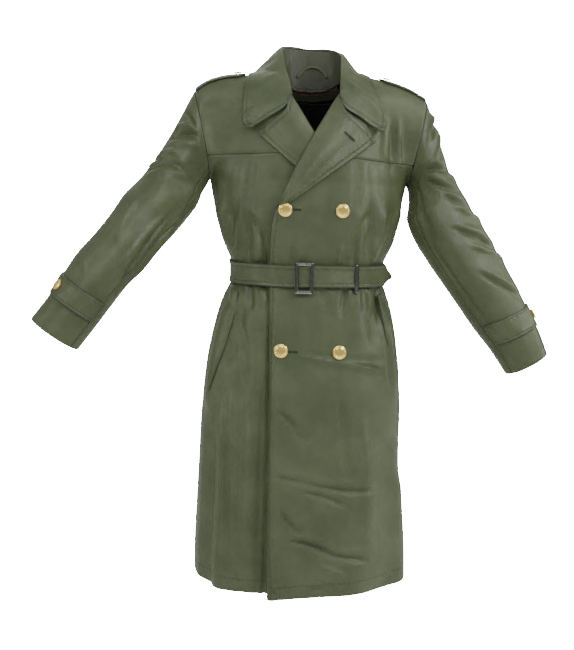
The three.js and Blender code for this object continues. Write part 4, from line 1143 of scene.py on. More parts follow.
class Nodes:
    """The node tree of a material or of the surroundings."""

    def __init__(self, owner: bpy.types.Material | bpy.types.World) -> None:
        """Clears the tree of a new material or of new surroundings."""
        owner.use_nodes = True
        self.owner = owner
        self.tree = owner.node_tree
        self.tree.nodes.clear()

    def surface(self, shader: Sock) -> bpy.types.Material | bpy.types.World:
        """Makes a shader the owner's surface, and returns the owner.

        Args:
            shader: the shader.

        Returns:
            The owner of the tree.
        """
        kind = "World" if isinstance(self.owner, bpy.types.World) else "Material"
        self.make(f"ShaderNodeOutput{kind}", {}, {"Surface": shader}, None)
        return self.owner

    def make(self, kind: str, settings: dict, inputs: dict, output: int | str | None = 0) -> Sock | None:
        """Adds a node.

        Args:
            kind: the node's type.
            settings: its settings, where stops are a ramp's places and colours.
            inputs: values or sockets by the input's name or number.
            output: the output that is wanted, or None for a node that has none.

        Returns:
            The output, wrapped.
        """
        node = self.tree.nodes.new(kind)
        for key, value in settings.items():
            if key == "stops":
                for element, (place, colour) in zip(node.color_ramp.elements, value):
                    element.position = place
                    element.color = colour
            else:
                setattr(node, key, value)
        for key, value in inputs.items():
            if isinstance(value, Sock):
                self.tree.links.new(value.socket, node.inputs[key])
            else:
                node.inputs[key].default_value = value
        return None if output is None else Sock(self, node.outputs[output])

    def shader(self, **inputs: object) -> Sock:
        """The main shader, with its inputs named with underscores for spaces."""
        values = {key.replace("_", " "): value for key, value in inputs.items()}
        return self.make("ShaderNodeBsdfPrincipled", {}, values)

    def mix(self, a: object, b: object, share: object) -> Sock:
        """The colour at share of the way from a to b."""
        return self.make("ShaderNodeMix", {"data_type": "RGBA"}, {0: share, 6: a, 7: b}, 2)

    def value_of(self, name: str) -> Sock:
        """A value that the mesh keeps at each vertex."""
        return self.make("ShaderNodeAttribute", {"attribute_name": name}, {}, "Fac")

    def noise(self, scale: float, detail: float = 2.0, roughness: float = 0.5) -> Sock:
        """Noise from 0 to 1 in the object's own space.

        Args:
            scale: size of the pattern, larger for finer.
            detail: number of finer layers.
            roughness: strength of the finer layers.

        Returns:
            The noise.
        """
        place = self.make("ShaderNodeTexCoord", {}, {}, "Object")
        sizes = {"Vector": place, "Scale": scale, "Detail": detail, "Roughness": roughness}
        return self.make("ShaderNodeTexNoise", {}, sizes)

    def flat_place(self) -> tuple[Sock, Sock]:
        """Place on the flat cloth, in millimetres."""
        uv = self.make("ShaderNodeUVMap", {"uv_map": "cloth"}, {})
        settings = {"operation": "SCALE"}
        scaled = self.make("ShaderNodeVectorMath", settings, {0: uv, "Scale": 1000.0})
        u = self.make("ShaderNodeSeparateXYZ", {}, {0: scaled}, 0)
        v = self.make("ShaderNodeSeparateXYZ", {}, {0: scaled}, 1)
        return u, v

    def bumped(self, height: Sock, distance: float, strength: float = 1.0) -> Sock:
        """The surface's direction, bumped by a height of 0 to 1 that stands for distance."""
        sizes = {"Height": height, "Distance": distance, "Strength": strength}
        return self.make("ShaderNodeBump", {}, sizes)


@dataclass(frozen=True)
class TwillFinish:
    """Fine cotton twill with a slight sheen, paler along its edges from wear and a painted sheen, and
    darkened by painted shade at turned edges and stitch grooves.
    """

    name: str = "olive_twill"
    deep: Colour = (0.052, 0.070, 0.027, 1)
    pale: Colour = (0.083, 0.103, 0.044, 1)
    # worn: paler colour along edges, partly edge wear and partly a painted sheen of the pressed edges.
    worn: Colour = (0.124, 0.144, 0.076, 1)
    # seam: painted shade colour, mixed in along stitch grooves and at turned edges.
    seam: Colour = (0.012, 0.016, 0.007, 1)
    twill: float = 0.85
    gloss: float = 0.36

    def make(self) -> bpy.types.Material:
        """Makes the material."""
        nodes = Nodes(bpy.data.materials.new(self.name))
        u, v = nodes.flat_place()
        edge = nodes.value_of("edge")
        stitch = nodes.value_of("stitch")
        along = nodes.value_of("along")
        mottle = nodes.noise(14.0, 3.0)
        slub = nodes.noise(420.0, 2.0, 0.6)
        rib = ((u * 0.5 + v * 0.87) * (2 * math.pi / self.twill)).sine() * 0.5 + 0.5
        groove = stitch.near(1.3)
        pucker = (along * (2 * math.pi / 11.0)).sine() * stitch.near(7.0)
        # Paler edges: partly wear, partly painted sheen; the same mask also roughens the edges.
        worn = (1 - edge.ramp(1.6, 3.6)) * (0.3 + mottle * 0.4)
        # Mask of the turned edges, where painted shade is mixed in below.
        turned = 1 - edge.ramp(0.7, 1.5)
        shade = (mottle.ramp(0.32, 0.7)) * 0.7 + slub * 0.2 + rib * 0.1
        cloth = nodes.mix(self.deep, self.pale, shade)
        cloth = nodes.mix(cloth, self.worn, worn * 0.6)
        # Painted shade: the seam colour darkens the stitch grooves a little and the turned edges strongly.
        cloth = nodes.mix(cloth, self.seam, groove * 0.28)
        cloth = nodes.mix(cloth, self.seam, turned * 0.8)
        height = rib * 0.10 + slub * 0.12 + mottle * 0.25 - groove * 0.5 + pucker * 0.16
        return nodes.surface(nodes.shader(
            Base_Color=cloth,
            Roughness=self.gloss + slub * 0.08 + worn * 0.06,
            Normal=nodes.bumped(height, 0.0012, 0.9),
            Specular_IOR_Level=0.5,
            Sheen_Weight=0.15,
            Sheen_Roughness=0.4,
            Sheen_Tint=(0.72, 0.85, 0.5, 1),
        ))


@dataclass(frozen=True)
class SatinFinish:
    """Black lining satin with fine warp lines."""

    name: str = "black_satin"
    colour: Colour = (0.0045, 0.0045, 0.005, 1)
    glint: Colour = (0.014, 0.014, 0.016, 1)

    def make(self) -> bpy.types.Material:
        """Makes the material."""
        nodes = Nodes(bpy.data.materials.new(self.name))
        u, _ = nodes.flat_place()
        warp = (u * (2 * math.pi / 0.6)).sine() * 0.5 + 0.5
        mottle = nodes.noise(30.0, 3.0)
        return nodes.surface(nodes.shader(
            Base_Color=nodes.mix(self.colour, self.glint, warp * 0.4 + mottle * 0.6),
            Roughness=0.34 + mottle * 0.12,
            Normal=nodes.bumped(warp * 0.2 + mottle * 0.8, 0.0006, 0.6),
            Specular_IOR_Level=0.45,
        ))


@dataclass(frozen=True)
class TapeFinish:
    """Plain woven neck tape."""

    name: str = "brown_tape"
    dark: Colour = (0.13, 0.083, 0.052, 1)
    light: Colour = (0.29, 0.20, 0.13, 1)
    thread: float = 1.1

    def make(self) -> bpy.types.Material:
        """Makes the material."""
        nodes = Nodes(bpy.data.materials.new(self.name))
        u, v = nodes.flat_place()
        warp = (u * (2 * math.pi / self.thread)).sine()
        weft = (v * (2 * math.pi / self.thread)).sine()
        weave = warp * weft * 0.5 + 0.5
        fibre = nodes.noise(500.0, 2.0)
        return nodes.surface(nodes.shader(
            Base_Color=nodes.mix(self.dark, self.light, weave * 0.6 + fibre * 0.4),
            Roughness=0.8 + fibre * 0.1,
            Normal=nodes.bumped(weave * 0.7 + fibre * 0.3, 0.0005, 0.8),
        ))


@dataclass(frozen=True)
class ThreadFinish:
    """Spun sewing thread."""

    name: str = "olive_thread"
    dark: Colour = (0.045, 0.058, 0.032, 1)
    light: Colour = (0.12, 0.145, 0.09, 1)

    def make(self) -> bpy.types.Material:
        """Makes the material."""
        nodes = Nodes(bpy.data.materials.new(self.name))
        fibre = nodes.noise(1800.0, 1.0)
        return nodes.surface(nodes.shader(
            Base_Color=nodes.mix(self.dark, self.light, fibre),
            Roughness=0.5 + fibre * 0.2,
            Normal=nodes.bumped(fibre, 0.0001, 0.6),
        ))


@dataclass(frozen=True)
class MetalFinish:
    """Polished metal with a little grime and fine handling marks; where glow is set, a painted glow stands
    in for its bright reflections.
    """

    name: str
    bright: Colour
    dull: Colour
    gloss: float
    marks: float = 240.0
    # Emission strength: a painted glow standing in for bright reflections, used on the gilt.
    glow: float = 0.0

    def make(self) -> bpy.types.Material:
        """Makes the material."""
        nodes = Nodes(bpy.data.materials.new(self.name))
        grime = nodes.noise(self.marks, 3.0, 0.6)
        fine = nodes.noise(self.marks * 8, 2.0)
        worn = grime.ramp(0.42, 0.75)
        return nodes.surface(nodes.shader(
            Base_Color=nodes.mix(self.bright, self.dull, worn * 0.7),
            Metallic=1.0,
            # Painted highlight: the metal's own colours are emitted as a glow that stands in for
            # reflections.
            Emission_Color=nodes.mix(self.bright, self.dull, worn),
            Emission_Strength=self.glow,
            Roughness=self.gloss + worn * 0.14 + fine * 0.05,
            Normal=nodes.bumped(grime * 0.6 + fine * 0.4, 0.00012, 0.5),
        ))


@dataclass(frozen=True)
class PaleFinish:
    """Plain pale floor, lit through so that it looks as white as the surroundings."""

    name: str = "pale_floor"
    colour: Colour = (0.9, 0.9, 0.9, 1)
    glow: float = 60.0
    through: float = 0.97

    def make(self) -> bpy.types.Material:
        """Makes the material."""
        nodes = Nodes(bpy.data.materials.new(self.name))
        speck = nodes.noise(60.0, 2.0)
        pale = nodes.mix(self.colour, (0.94, 0.94, 0.94, 1), speck)
        painted = nodes.shader(Base_Color=pale, Roughness=0.9, Specular_IOR_Level=0.1)
        lit = nodes.make("ShaderNodeEmission", {}, {"Strength": self.glow})
        seen = nodes.make("ShaderNodeLightPath", {}, {}, "Is Camera Ray") * self.through
        return nodes.surface(nodes.make("ShaderNodeMixShader", {}, {0: seen, 1: painted, 2: lit}))


class Slot(Enum):
    """Names of the material slots."""

    CLOTH = "coat_cloth"
    LINING = "lining_satin"
    TAPE = "neck_tape_cloth"
    GILT = "button_gilt"
    STEEL = "dark_steel"


@dataclass
class Wardrobe:
    """The finishes, and the way each made piece joins the coat."""

    finishes: dict[str, bpy.types.Material] = field(default_factory=dict)

    def __post_init__(self) -> None:
        """Makes every finish once."""
        gilt = MetalFinish(
            "gilt",
            bright=(0.96, 0.73, 0.20, 1),
            dull=(0.50, 0.30, 0.06, 1),
            gloss=0.13,
            marks=420.0,
            # Painted highlight: a glow that brightens the gilt where its reflections fall short.
            glow=0.26,
        )
        steel = MetalFinish(
            "dark_steel", bright=(0.19, 0.2, 0.175, 1), dull=(0.05, 0.053, 0.045, 1), gloss=0.15
        )
        dark_thread = ThreadFinish("dark_thread", (0.012, 0.013, 0.008, 1), (0.04, 0.045, 0.026, 1))
        recipes = {
            "twill": TwillFinish(),
            # Welt twill: a paler seam colour, so the painted shade at the welts' edges is weaker.
            "twill_soft": TwillFinish("olive_twill_soft", seam=(0.045, 0.060, 0.024, 1)),
            # Painted shade: a darker copy of the twill for the collar stand's inner face, standing in for
            # the shade inside the neck.
            "twill_painted_shade": TwillFinish(
                "olive_twill_painted_shade",
                deep=(0.036, 0.044, 0.021, 1),
                pale=(0.056, 0.064, 0.034, 1),
                worn=(0.075, 0.083, 0.05, 1),
            ),
            "satin": SatinFinish(),
            "tape": TapeFinish(),
            "thread": ThreadFinish(),
            "dark_thread": dark_thread,
            "gilt": gilt,
            "steel": steel,
            "floor": PaleFinish(),
        }
        self.finishes = {key: recipe.make() for key, recipe in recipes.items()}

    def wear(self, piece: bpy.types.Object, finish: str, slot: Slot, *nodes: str) -> bpy.types.Object:
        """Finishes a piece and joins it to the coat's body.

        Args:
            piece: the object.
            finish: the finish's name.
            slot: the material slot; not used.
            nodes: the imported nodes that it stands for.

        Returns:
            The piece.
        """
        piece.data.materials.append(self.finishes[finish])
        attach(piece, "root")
        if nodes:
            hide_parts(*nodes)
        LOG.info("%s: %d faces", piece.name, len(piece.data.polygons))
        return piece

    def sew(self, name: str, sheet: Sheet) -> None:
        """Sews a row of real stitches along each stitched edge of a sheet.

        Args:
            name: name of the piece of stitches.
            sheet: the sheet to sew.
        """
        stitching = Stitching(name)
        for key, inset in sheet.stitched.items():
            stitching.add(*sheet.line(key, inset))
        self.wear(stitching.build(), "thread", Slot.CLOTH)

    def sheet(self, sheet: Sheet, held: str, rests_on: list[str], *nodes: str, **look: object) -> None:
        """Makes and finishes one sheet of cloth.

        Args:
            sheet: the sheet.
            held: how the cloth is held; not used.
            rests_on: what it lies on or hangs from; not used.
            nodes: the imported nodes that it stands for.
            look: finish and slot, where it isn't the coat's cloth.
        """
        finish = look.get("finish", "twill")
        slot = look.get("slot", Slot.CLOTH)
        piece = self.wear(sheet.build(), finish, slot, *nodes)
        width, length, area = sheet.cut()
        min(max(area, 0.31 * width * length), width * length)


# ---- the body's panels ----


def neck_seam_z(x: Array) -> Array:
    """Level of the neck seam across the back."""
    return lerp(NECK_BACK_Z, NECK_SIDE_Z, (np.abs(x) / NECK_HALF_WIDTH) ** 2.6)


def yoke_height(turn: Array) -> Array:
    """Height of the yoke seam on the front.

    Args:
        turn: degrees from the centre.

    Returns:
        Heights as the form gives them.
    """
    left = turn >= 0
    neck = np.where(left, -164, -159)
    armhole = np.where(left, -179, -168)

    def over(height: Array) -> Array:
        """How far a point is over the seam."""
        point = FORM.point(-1, turn, height)
        return point[..., 2] - lerp(neck, armhole, np.clip(np.abs(point[..., 0]) / 210, 0, 1))

    return bisect(over, 0.01, 0.9, np.shape(turn))


def neck_height(turn: Array) -> Array:
    """Height of the back's upper edge: the neck seam, or the shoulder beside it.

    Args:
        turn: degrees from the centre.

    Returns:
        Heights as the form gives them.
    """

    def over(height: Array) -> Array:
        """How far a point is over the neck seam."""
        point = FORM.point(1, turn, height)
        return point[..., 2] - neck_seam_z(point[..., 0])

    at_neck = bisect(over, 0.3, 1, np.shape(turn))
    return np.where(FORM.share(turn, np.ones(np.shape(turn))) >= NECK_SHARE, 1.0, at_neck)


def hem_height(face: Face, turn: Array, left: bool) -> Array:
    """Height of the hem, which rises at the sides and dips at the over front's corner.

    Args:
        face: front or back.
        turn: degrees from the centre.
        left: whether it is the left front.

    Returns:
        Heights as the form gives them.
    """
    level = HEM_LEVEL + HEM_SIDE_RISE * smoothstep(np.abs(turn), 60, 90) - ARMPIT_Z
    if face is Face.BACK:
        return level
    corner = HEM_OVER_DROP + HEM_OVER_CORNER * smoothstep(-turn, -10, 22)
    drop = corner if left else HEM_UNDER_DROP
    return level - drop * np.cos(np.radians(turn)) ** 2


@dataclass
class Panels:
    """The back, the two fronts and their yokes."""

    wardrobe: Wardrobe
    front_columns: int = 78
    back_columns: int = 150
    skirt_rows: int = 184
    yoke_rows: int = 40
    seam_pinch: float = 1.3
    seam_reach: float = 3.2
    front_stitch: float = 9.0
    hem_stitch: float = 26.0
    crease_depth: float = 1.5
    belt_z: float = -404.0
    belt_half: float = 23.0
    ledge: tuple[float, float, float, float] = (-285.0, -240.0, -182.0, -160.0)
    ledge_rounds: int = 90

    def _creases(self, face: Face, left: bool | None, turn: Array, base: Array) -> Array:
        """Lift of the creases, calmed where something lies on the cloth and at the side seams.

        Args:
            face: front or back.
            left: which front it is, or None for the back.
            turn: degrees from the centre.
            base: points of the form.

        Returns:
            The lift in millimetres.
        """
        x, z = base[..., 0], base[..., 2]
        table = FRONT_CREASES if face is Face.FRONT else BACK_CREASES
        lift = self.crease_depth * crease_lift(table, x, z)
        lift = lift * (1 - smoothstep(np.abs(turn), 80, 89))
        free = smoothstep(np.abs(z - self.belt_z), self.belt_half, self.belt_half + 13)
        if face is Face.FRONT:
            own = x if left else -x
            seam = lerp(LAPEL_FOOT[1], -132, (own - LAPEL_FOOT[0]) / 168)
            free = free * np.maximum(smoothstep(own, 122, 152), smoothstep(seam - z, 2, 18))
            for button_x, button_z in FrontButtons.places:
                free = free * smoothstep(np.hypot(x - button_x, z - button_z), 14, 34)
        if left is False:
            free = free * (1 - smoothstep(x, -94, -80))
        held = 1.0 if left is False else 0.5
        return np.where(lift > 0, lift * free, lift * lerp(held, 1, free))

    def _sheet(
        self, name: str, face: Face, left: bool | None, turn: Array, height: Array, **look: object
    ) -> Sheet:
        """A panel from its grid of turns and heights.

        Args:
            name: the piece's name.
            face: front or back.
            left: which front it is, or None for the back.
            turn: the grid's turns.
            height: the grid's heights.
            look: sewn edges under `sewn` and stitch insets under `stitched`.

        Returns:
            The sheet.
        """
        sign = face.value
        base = FORM.point(sign, turn, height)
        normal = FORM.normal(sign, turn, height)
        rim = smoothstep(np.abs(turn), 84, 89.9) * (height >= 0)
        turned = normal.copy()
        turned[..., 0] *= 1 - 0.9 * smoothstep(height, 0.02, 0.2)
        normal = unit(lerp(normal, unit(turned), rim[..., None]))
        lift = np.zeros(turn.shape) if left is None else front_lift(left, base[..., 0], base[..., 2])
        lift = lift + FORM.uneven.lift(base[..., 0], base[..., 2])
        lift = lift + self._creases(face, left, turn, base)
        flat = Sheet(name, base, base)
        for key in look["sewn"]:
            lift = lift - self.seam_pinch * np.exp(-((flat.distances()[key] / self.seam_reach) ** 2))
        inner = base + normal * lift[..., None]
        outer = inner + normal * CLOTH
        drop = CLOTH * ARMHOLE_MITRE * np.maximum(np.cos(np.pi * np.maximum(height, 0)), 0) ** 3
        outer[..., 2] -= drop * rim
        shoulder = height > 0.999
        inner[..., 1] = np.where(shoulder, sign * GAP / 2, inner[..., 1])
        outer[..., 1] = np.where(shoulder, sign * GAP / 2, outer[..., 1])
        foot, low, high, top = self.ledge
        weight = smoothstep(base[..., 2], foot, low) * (1 - smoothstep(base[..., 2], high, top))
        inner, outer = (relax(grid, weight * 0.9, self.ledge_rounds) for grid in (inner, outer))
        return Sheet(name, outer, inner, look.get("stitched", {}))

    def _edge(self, left: bool, target: Callable[[Array], Array], count: int) -> Array:
        """Turns where a front's inner edge meets rows of a given height.

        Args:
            left: which front.
            target: height of the rows at their turns.
            count: number of rows.

        Returns:
            One turn for each row.
        """
        sign = 1 if left else -1

        def place(z: Array) -> tuple[Array, Array]:
            """Turn and height of the edge at a level."""
            return FORM.locate(sign * FRONT_EDGE.read(z, "x", smooth=False), z)

        def over(z: Array) -> Array:
            """How far the edge is over the row."""
            turn, height = place(z)
            return height - target(turn)

        level = bisect(over, FRONT_EDGE.rows[0][0], NECK_SIDE_Z - 0.01, (count,))
        return place(level)[0]

    def _front_rows(self, left: bool, height_of: Callable, shares: Array) -> tuple[Array, Array]:
        """Turns and heights of rows that run from the side seam to the front edge.

        Args:
            left: which front.
            height_of: height at a turn and at a share of the way up.
            shares: how far up each row lies.

        Returns:
            Arrays of turns and heights.
        """
        sign = 1 if left else -1
        edge = self._edge(left, lambda turn: height_of(turn, shares), len(shares))
        turn = lerp(sign * SEAM_TURN, edge[:, None], np.linspace(0, 1, self.front_columns)[None, :])
        return turn, height_of(turn, shares[:, None])

    def front(self, side: Side) -> Stitching:
        """Builds one front and its yoke, and returns their stitching.

        Args:
            side: the wearer's side.

        Returns:
            The stitching.
        """
        left = side is Side.LEFT
        table = np.linspace(-90, 90, 241)
        yokes = yoke_height(table)

        def yoke(turn: Array) -> Array:
            """The yoke seam's height, read from a fine table."""
            return np.interp(turn, table, yokes)

        def below(turn: Array, share: Array) -> Array:
            """Height between the hem and the armhole's lowest point."""
            return lerp(hem_height(Face.FRONT, turn, left), 0, share)

        skirt = self._front_rows(left, below, np.linspace(0, 1, self.skirt_rows))
        chest = self._front_rows(left, lambda turn, share: yoke(turn) * share, np.linspace(0.08, 1, 12))
        places = [np.concatenate([skirt[k], chest[k]]) for k in range(2)]
        look = {
            "sewn": [Edge.FIRST_COLUMN, Edge.LAST_ROW],
            "stitched": {Edge.LAST_COLUMN: self.front_stitch, Edge.FIRST_ROW: self.hem_stitch},
        }
        panel = self._sheet(f"front_panel_{side.label}", Face.FRONT, left, *places, **look)
        up = np.linspace(0, 1, self.yoke_rows)
        places = self._front_rows(left, lambda turn, share: lerp(yoke(turn), 1, share), up)
        look = {"sewn": [Edge.FIRST_COLUMN, Edge.FIRST_ROW]}
        yoke_sheet = self._sheet(f"yoke_panel_{side.label}", Face.FRONT, left, *places, **look)
        self.wardrobe.sheet(panel, "hung", [f"yoke_{side.label}"], f"front_{side.label}")
        self.wardrobe.sheet(yoke_sheet, "draped", ["back"], f"yoke_{side.label}")
        if left:
            for level, z in (("upper", -272), ("lower", -554)):
                hole = Buttonhole(f"buttonhole_{level}", (-40, z), (-26, z - 0.5))
                self.wardrobe.wear(hole.build(panel), "dark_thread", Slot.CLOTH)
        stitching = Stitching(f"front_stitches_{side.label}")
        stitching.add(*panel.line(Edge.LAST_COLUMN, self.front_stitch), keep=lambda p: p[:, 2] < -262)
        stitching.add(*panel.line(Edge.FIRST_ROW, self.hem_stitch))
        return stitching

    def back(self) -> Stitching:
        """Builds the back and returns its stitching."""
        turn_row = np.linspace(-SEAM_TURN, SEAM_TURN, self.back_columns)
        shares = np.linspace(0, 1, self.skirt_rows)[:, None]
        lower = lerp(hem_height(Face.BACK, turn_row, False)[None, :], 0, shares)
        upper = neck_height(turn_row)[None, :] * np.linspace(0.025, 1, 52)[:, None]
        height = np.concatenate([lower, upper])
        turn = np.broadcast_to(turn_row, height.shape)
        sewn = [Edge.FIRST_COLUMN, Edge.LAST_COLUMN]
        stitched = {Edge.FIRST_ROW: self.hem_stitch}
        panel = self._sheet("back_panel", Face.BACK, None, turn, height, sewn=sewn, stitched=stitched)
        self.wardrobe.sheet(panel, "draped", ["yoke_right", "yoke_left"], "back")
        stitching = Stitching("back_stitches")
        stitching.add(*panel.line(Edge.FIRST_ROW, self.hem_stitch))
        return stitching

    def build(self) -> None:
        """Builds all panels and sews them."""
        for stitching in (self.back(), self.front(Side.RIGHT), self.front(Side.LEFT)):
            self.wardrobe.wear(stitching.build(), "thread", Slot.CLOTH)


# ---- lapels and collar ----


@dataclass
class Lapels:
    """The turned-back lapels."""

    wardrobe: Wardrobe
    break_z: float = -264.0
    gorge_z: float = -49.0
    notch: tuple[float, float] = (58.0, -82.0)
    tip_left: tuple[float, float] = (124.0, -132.0)
    tip_right: tuple[float, float] = (112.0, -124.0)
    hole_from: tuple[float, float] = (59.0, -119.0)
    hole_to: tuple[float, float] = (77.0, -134.0)
    notch_share: float = 0.25
    roll_radius: float = 2.2
    tip_radius: float = 9.0
    stitch: float = 9.0
    rows: int = 66
    columns: int = 40

    def _plan(self, left: bool, share: Array, reach: Array) -> tuple[Array, Array]:
        """Places of the lapel's grid across and up, on the wearer's own side.

        Args:
            left: whether it is the left lapel.
            share: share of the way up the roll.
            reach: share of the way from roll to edge.

        Returns:
            Arrays of places across and up.
        """
        tip = self.tip_left if left else self.tip_right
        roll_z = lerp(self.break_z, self.gorge_z, share)
        roll_x = FRONT_EDGE.read(roll_z, "x", smooth=False)
        along = np.where(share < 0.02, share, share**0.8)
        outer_x = lerp(LAPEL_FOOT[0], tip[0], along)
        outer_z = lerp(LAPEL_FOOT[1], tip[1], along)
        first = np.minimum(reach / self.notch_share, 1)
        rest = np.maximum(reach - self.notch_share, 0) / (1 - self.notch_share)
        corner_x = lerp(lerp(roll_x, self.notch[0], first), outer_x, rest)
        corner_z = lerp(lerp(roll_z, self.notch[1], first), outer_z, rest)
        blend = share**5
        x = lerp(lerp(roll_x, outer_x, reach), corner_x, blend)
        z = lerp(lerp(roll_z, outer_z, reach), corner_z, blend)
        return x, z

    def _sheet(self, side: Side) -> Sheet:
        """One lapel, rolled over from the front's edge.

        Args:
            side: the wearer's side.

        Returns:
            The sheet.
        """
        left = side is Side.LEFT
        share, reach = grid_of(np.linspace(0, 1, self.rows), np.linspace(0, 1, self.columns))
        x, z = self._plan(left, share, reach)
        flat = np.stack([x, z, np.zeros(x.shape)], -1)
        flat = round_corner(flat, self.tip_radius, True, True)
        x, z = flat[..., 0], flat[..., 1]
        soft = 5.0 if left else lerp(1.5, 5, smoothstep(z, -150, -90))
        foot = 4.5 * (1 - smoothstep(share, 0, 0.2)) * smoothstep(reach, 0, 0.5) if left else 0.0
        base = front_lift(left, side.value * x, z) + CLOTH + GAP + 0.9
        lift = base + soft * np.sin(np.pi * np.minimum(reach * 1.5 + 0.02, 1)) * 0.9 + foot
        turn, height = FORM.locate(side.value * x, z)
        inner = FORM.lay(-1, turn, height, lift)
        outer = FORM.lay(-1, turn, height, lift + CLOTH)
        normal = unit(outer - inner)
        toward = unit(inner[:, :1] - inner[:, 1:2])
        radius = self.roll_radius
        angles = np.radians(np.linspace(170, 18, 6))[None, :, None]
        start = inner[:, :1] - normal[:, :1] * radius
        out = normal[:, :1] * np.cos(angles) + toward * np.sin(angles)
        roll_inner = start + out * radius
        roll_outer = start + out * (radius + CLOTH)
        grid_in = np.concatenate([roll_inner, inner], axis=1)
        grid_out = np.concatenate([roll_outer, outer], axis=1)
        stitched = {Edge.LAST_COLUMN: self.stitch, Edge.LAST_ROW: self.stitch}
        return Sheet(f"lapel_leaf_{side.label}", grid_out, grid_in, stitched)

    def build(self) -> None:
        """Builds both lapels, their stitching and the left one's buttonhole."""
        for side in Side:
            sheet = self._sheet(side)
            self.wardrobe.sheet(sheet, "folded", [f"front_{side.label}"], f"lapel_{side.label}")
            self.wardrobe.sew(f"lapel_stitches_{side.label}", sheet)
            if side is Side.LEFT:
                hole = Buttonhole("lapel_buttonhole", self.hole_from, self.hole_to)
                self.wardrobe.wear(hole.build(sheet), "dark_thread", Slot.CLOTH)


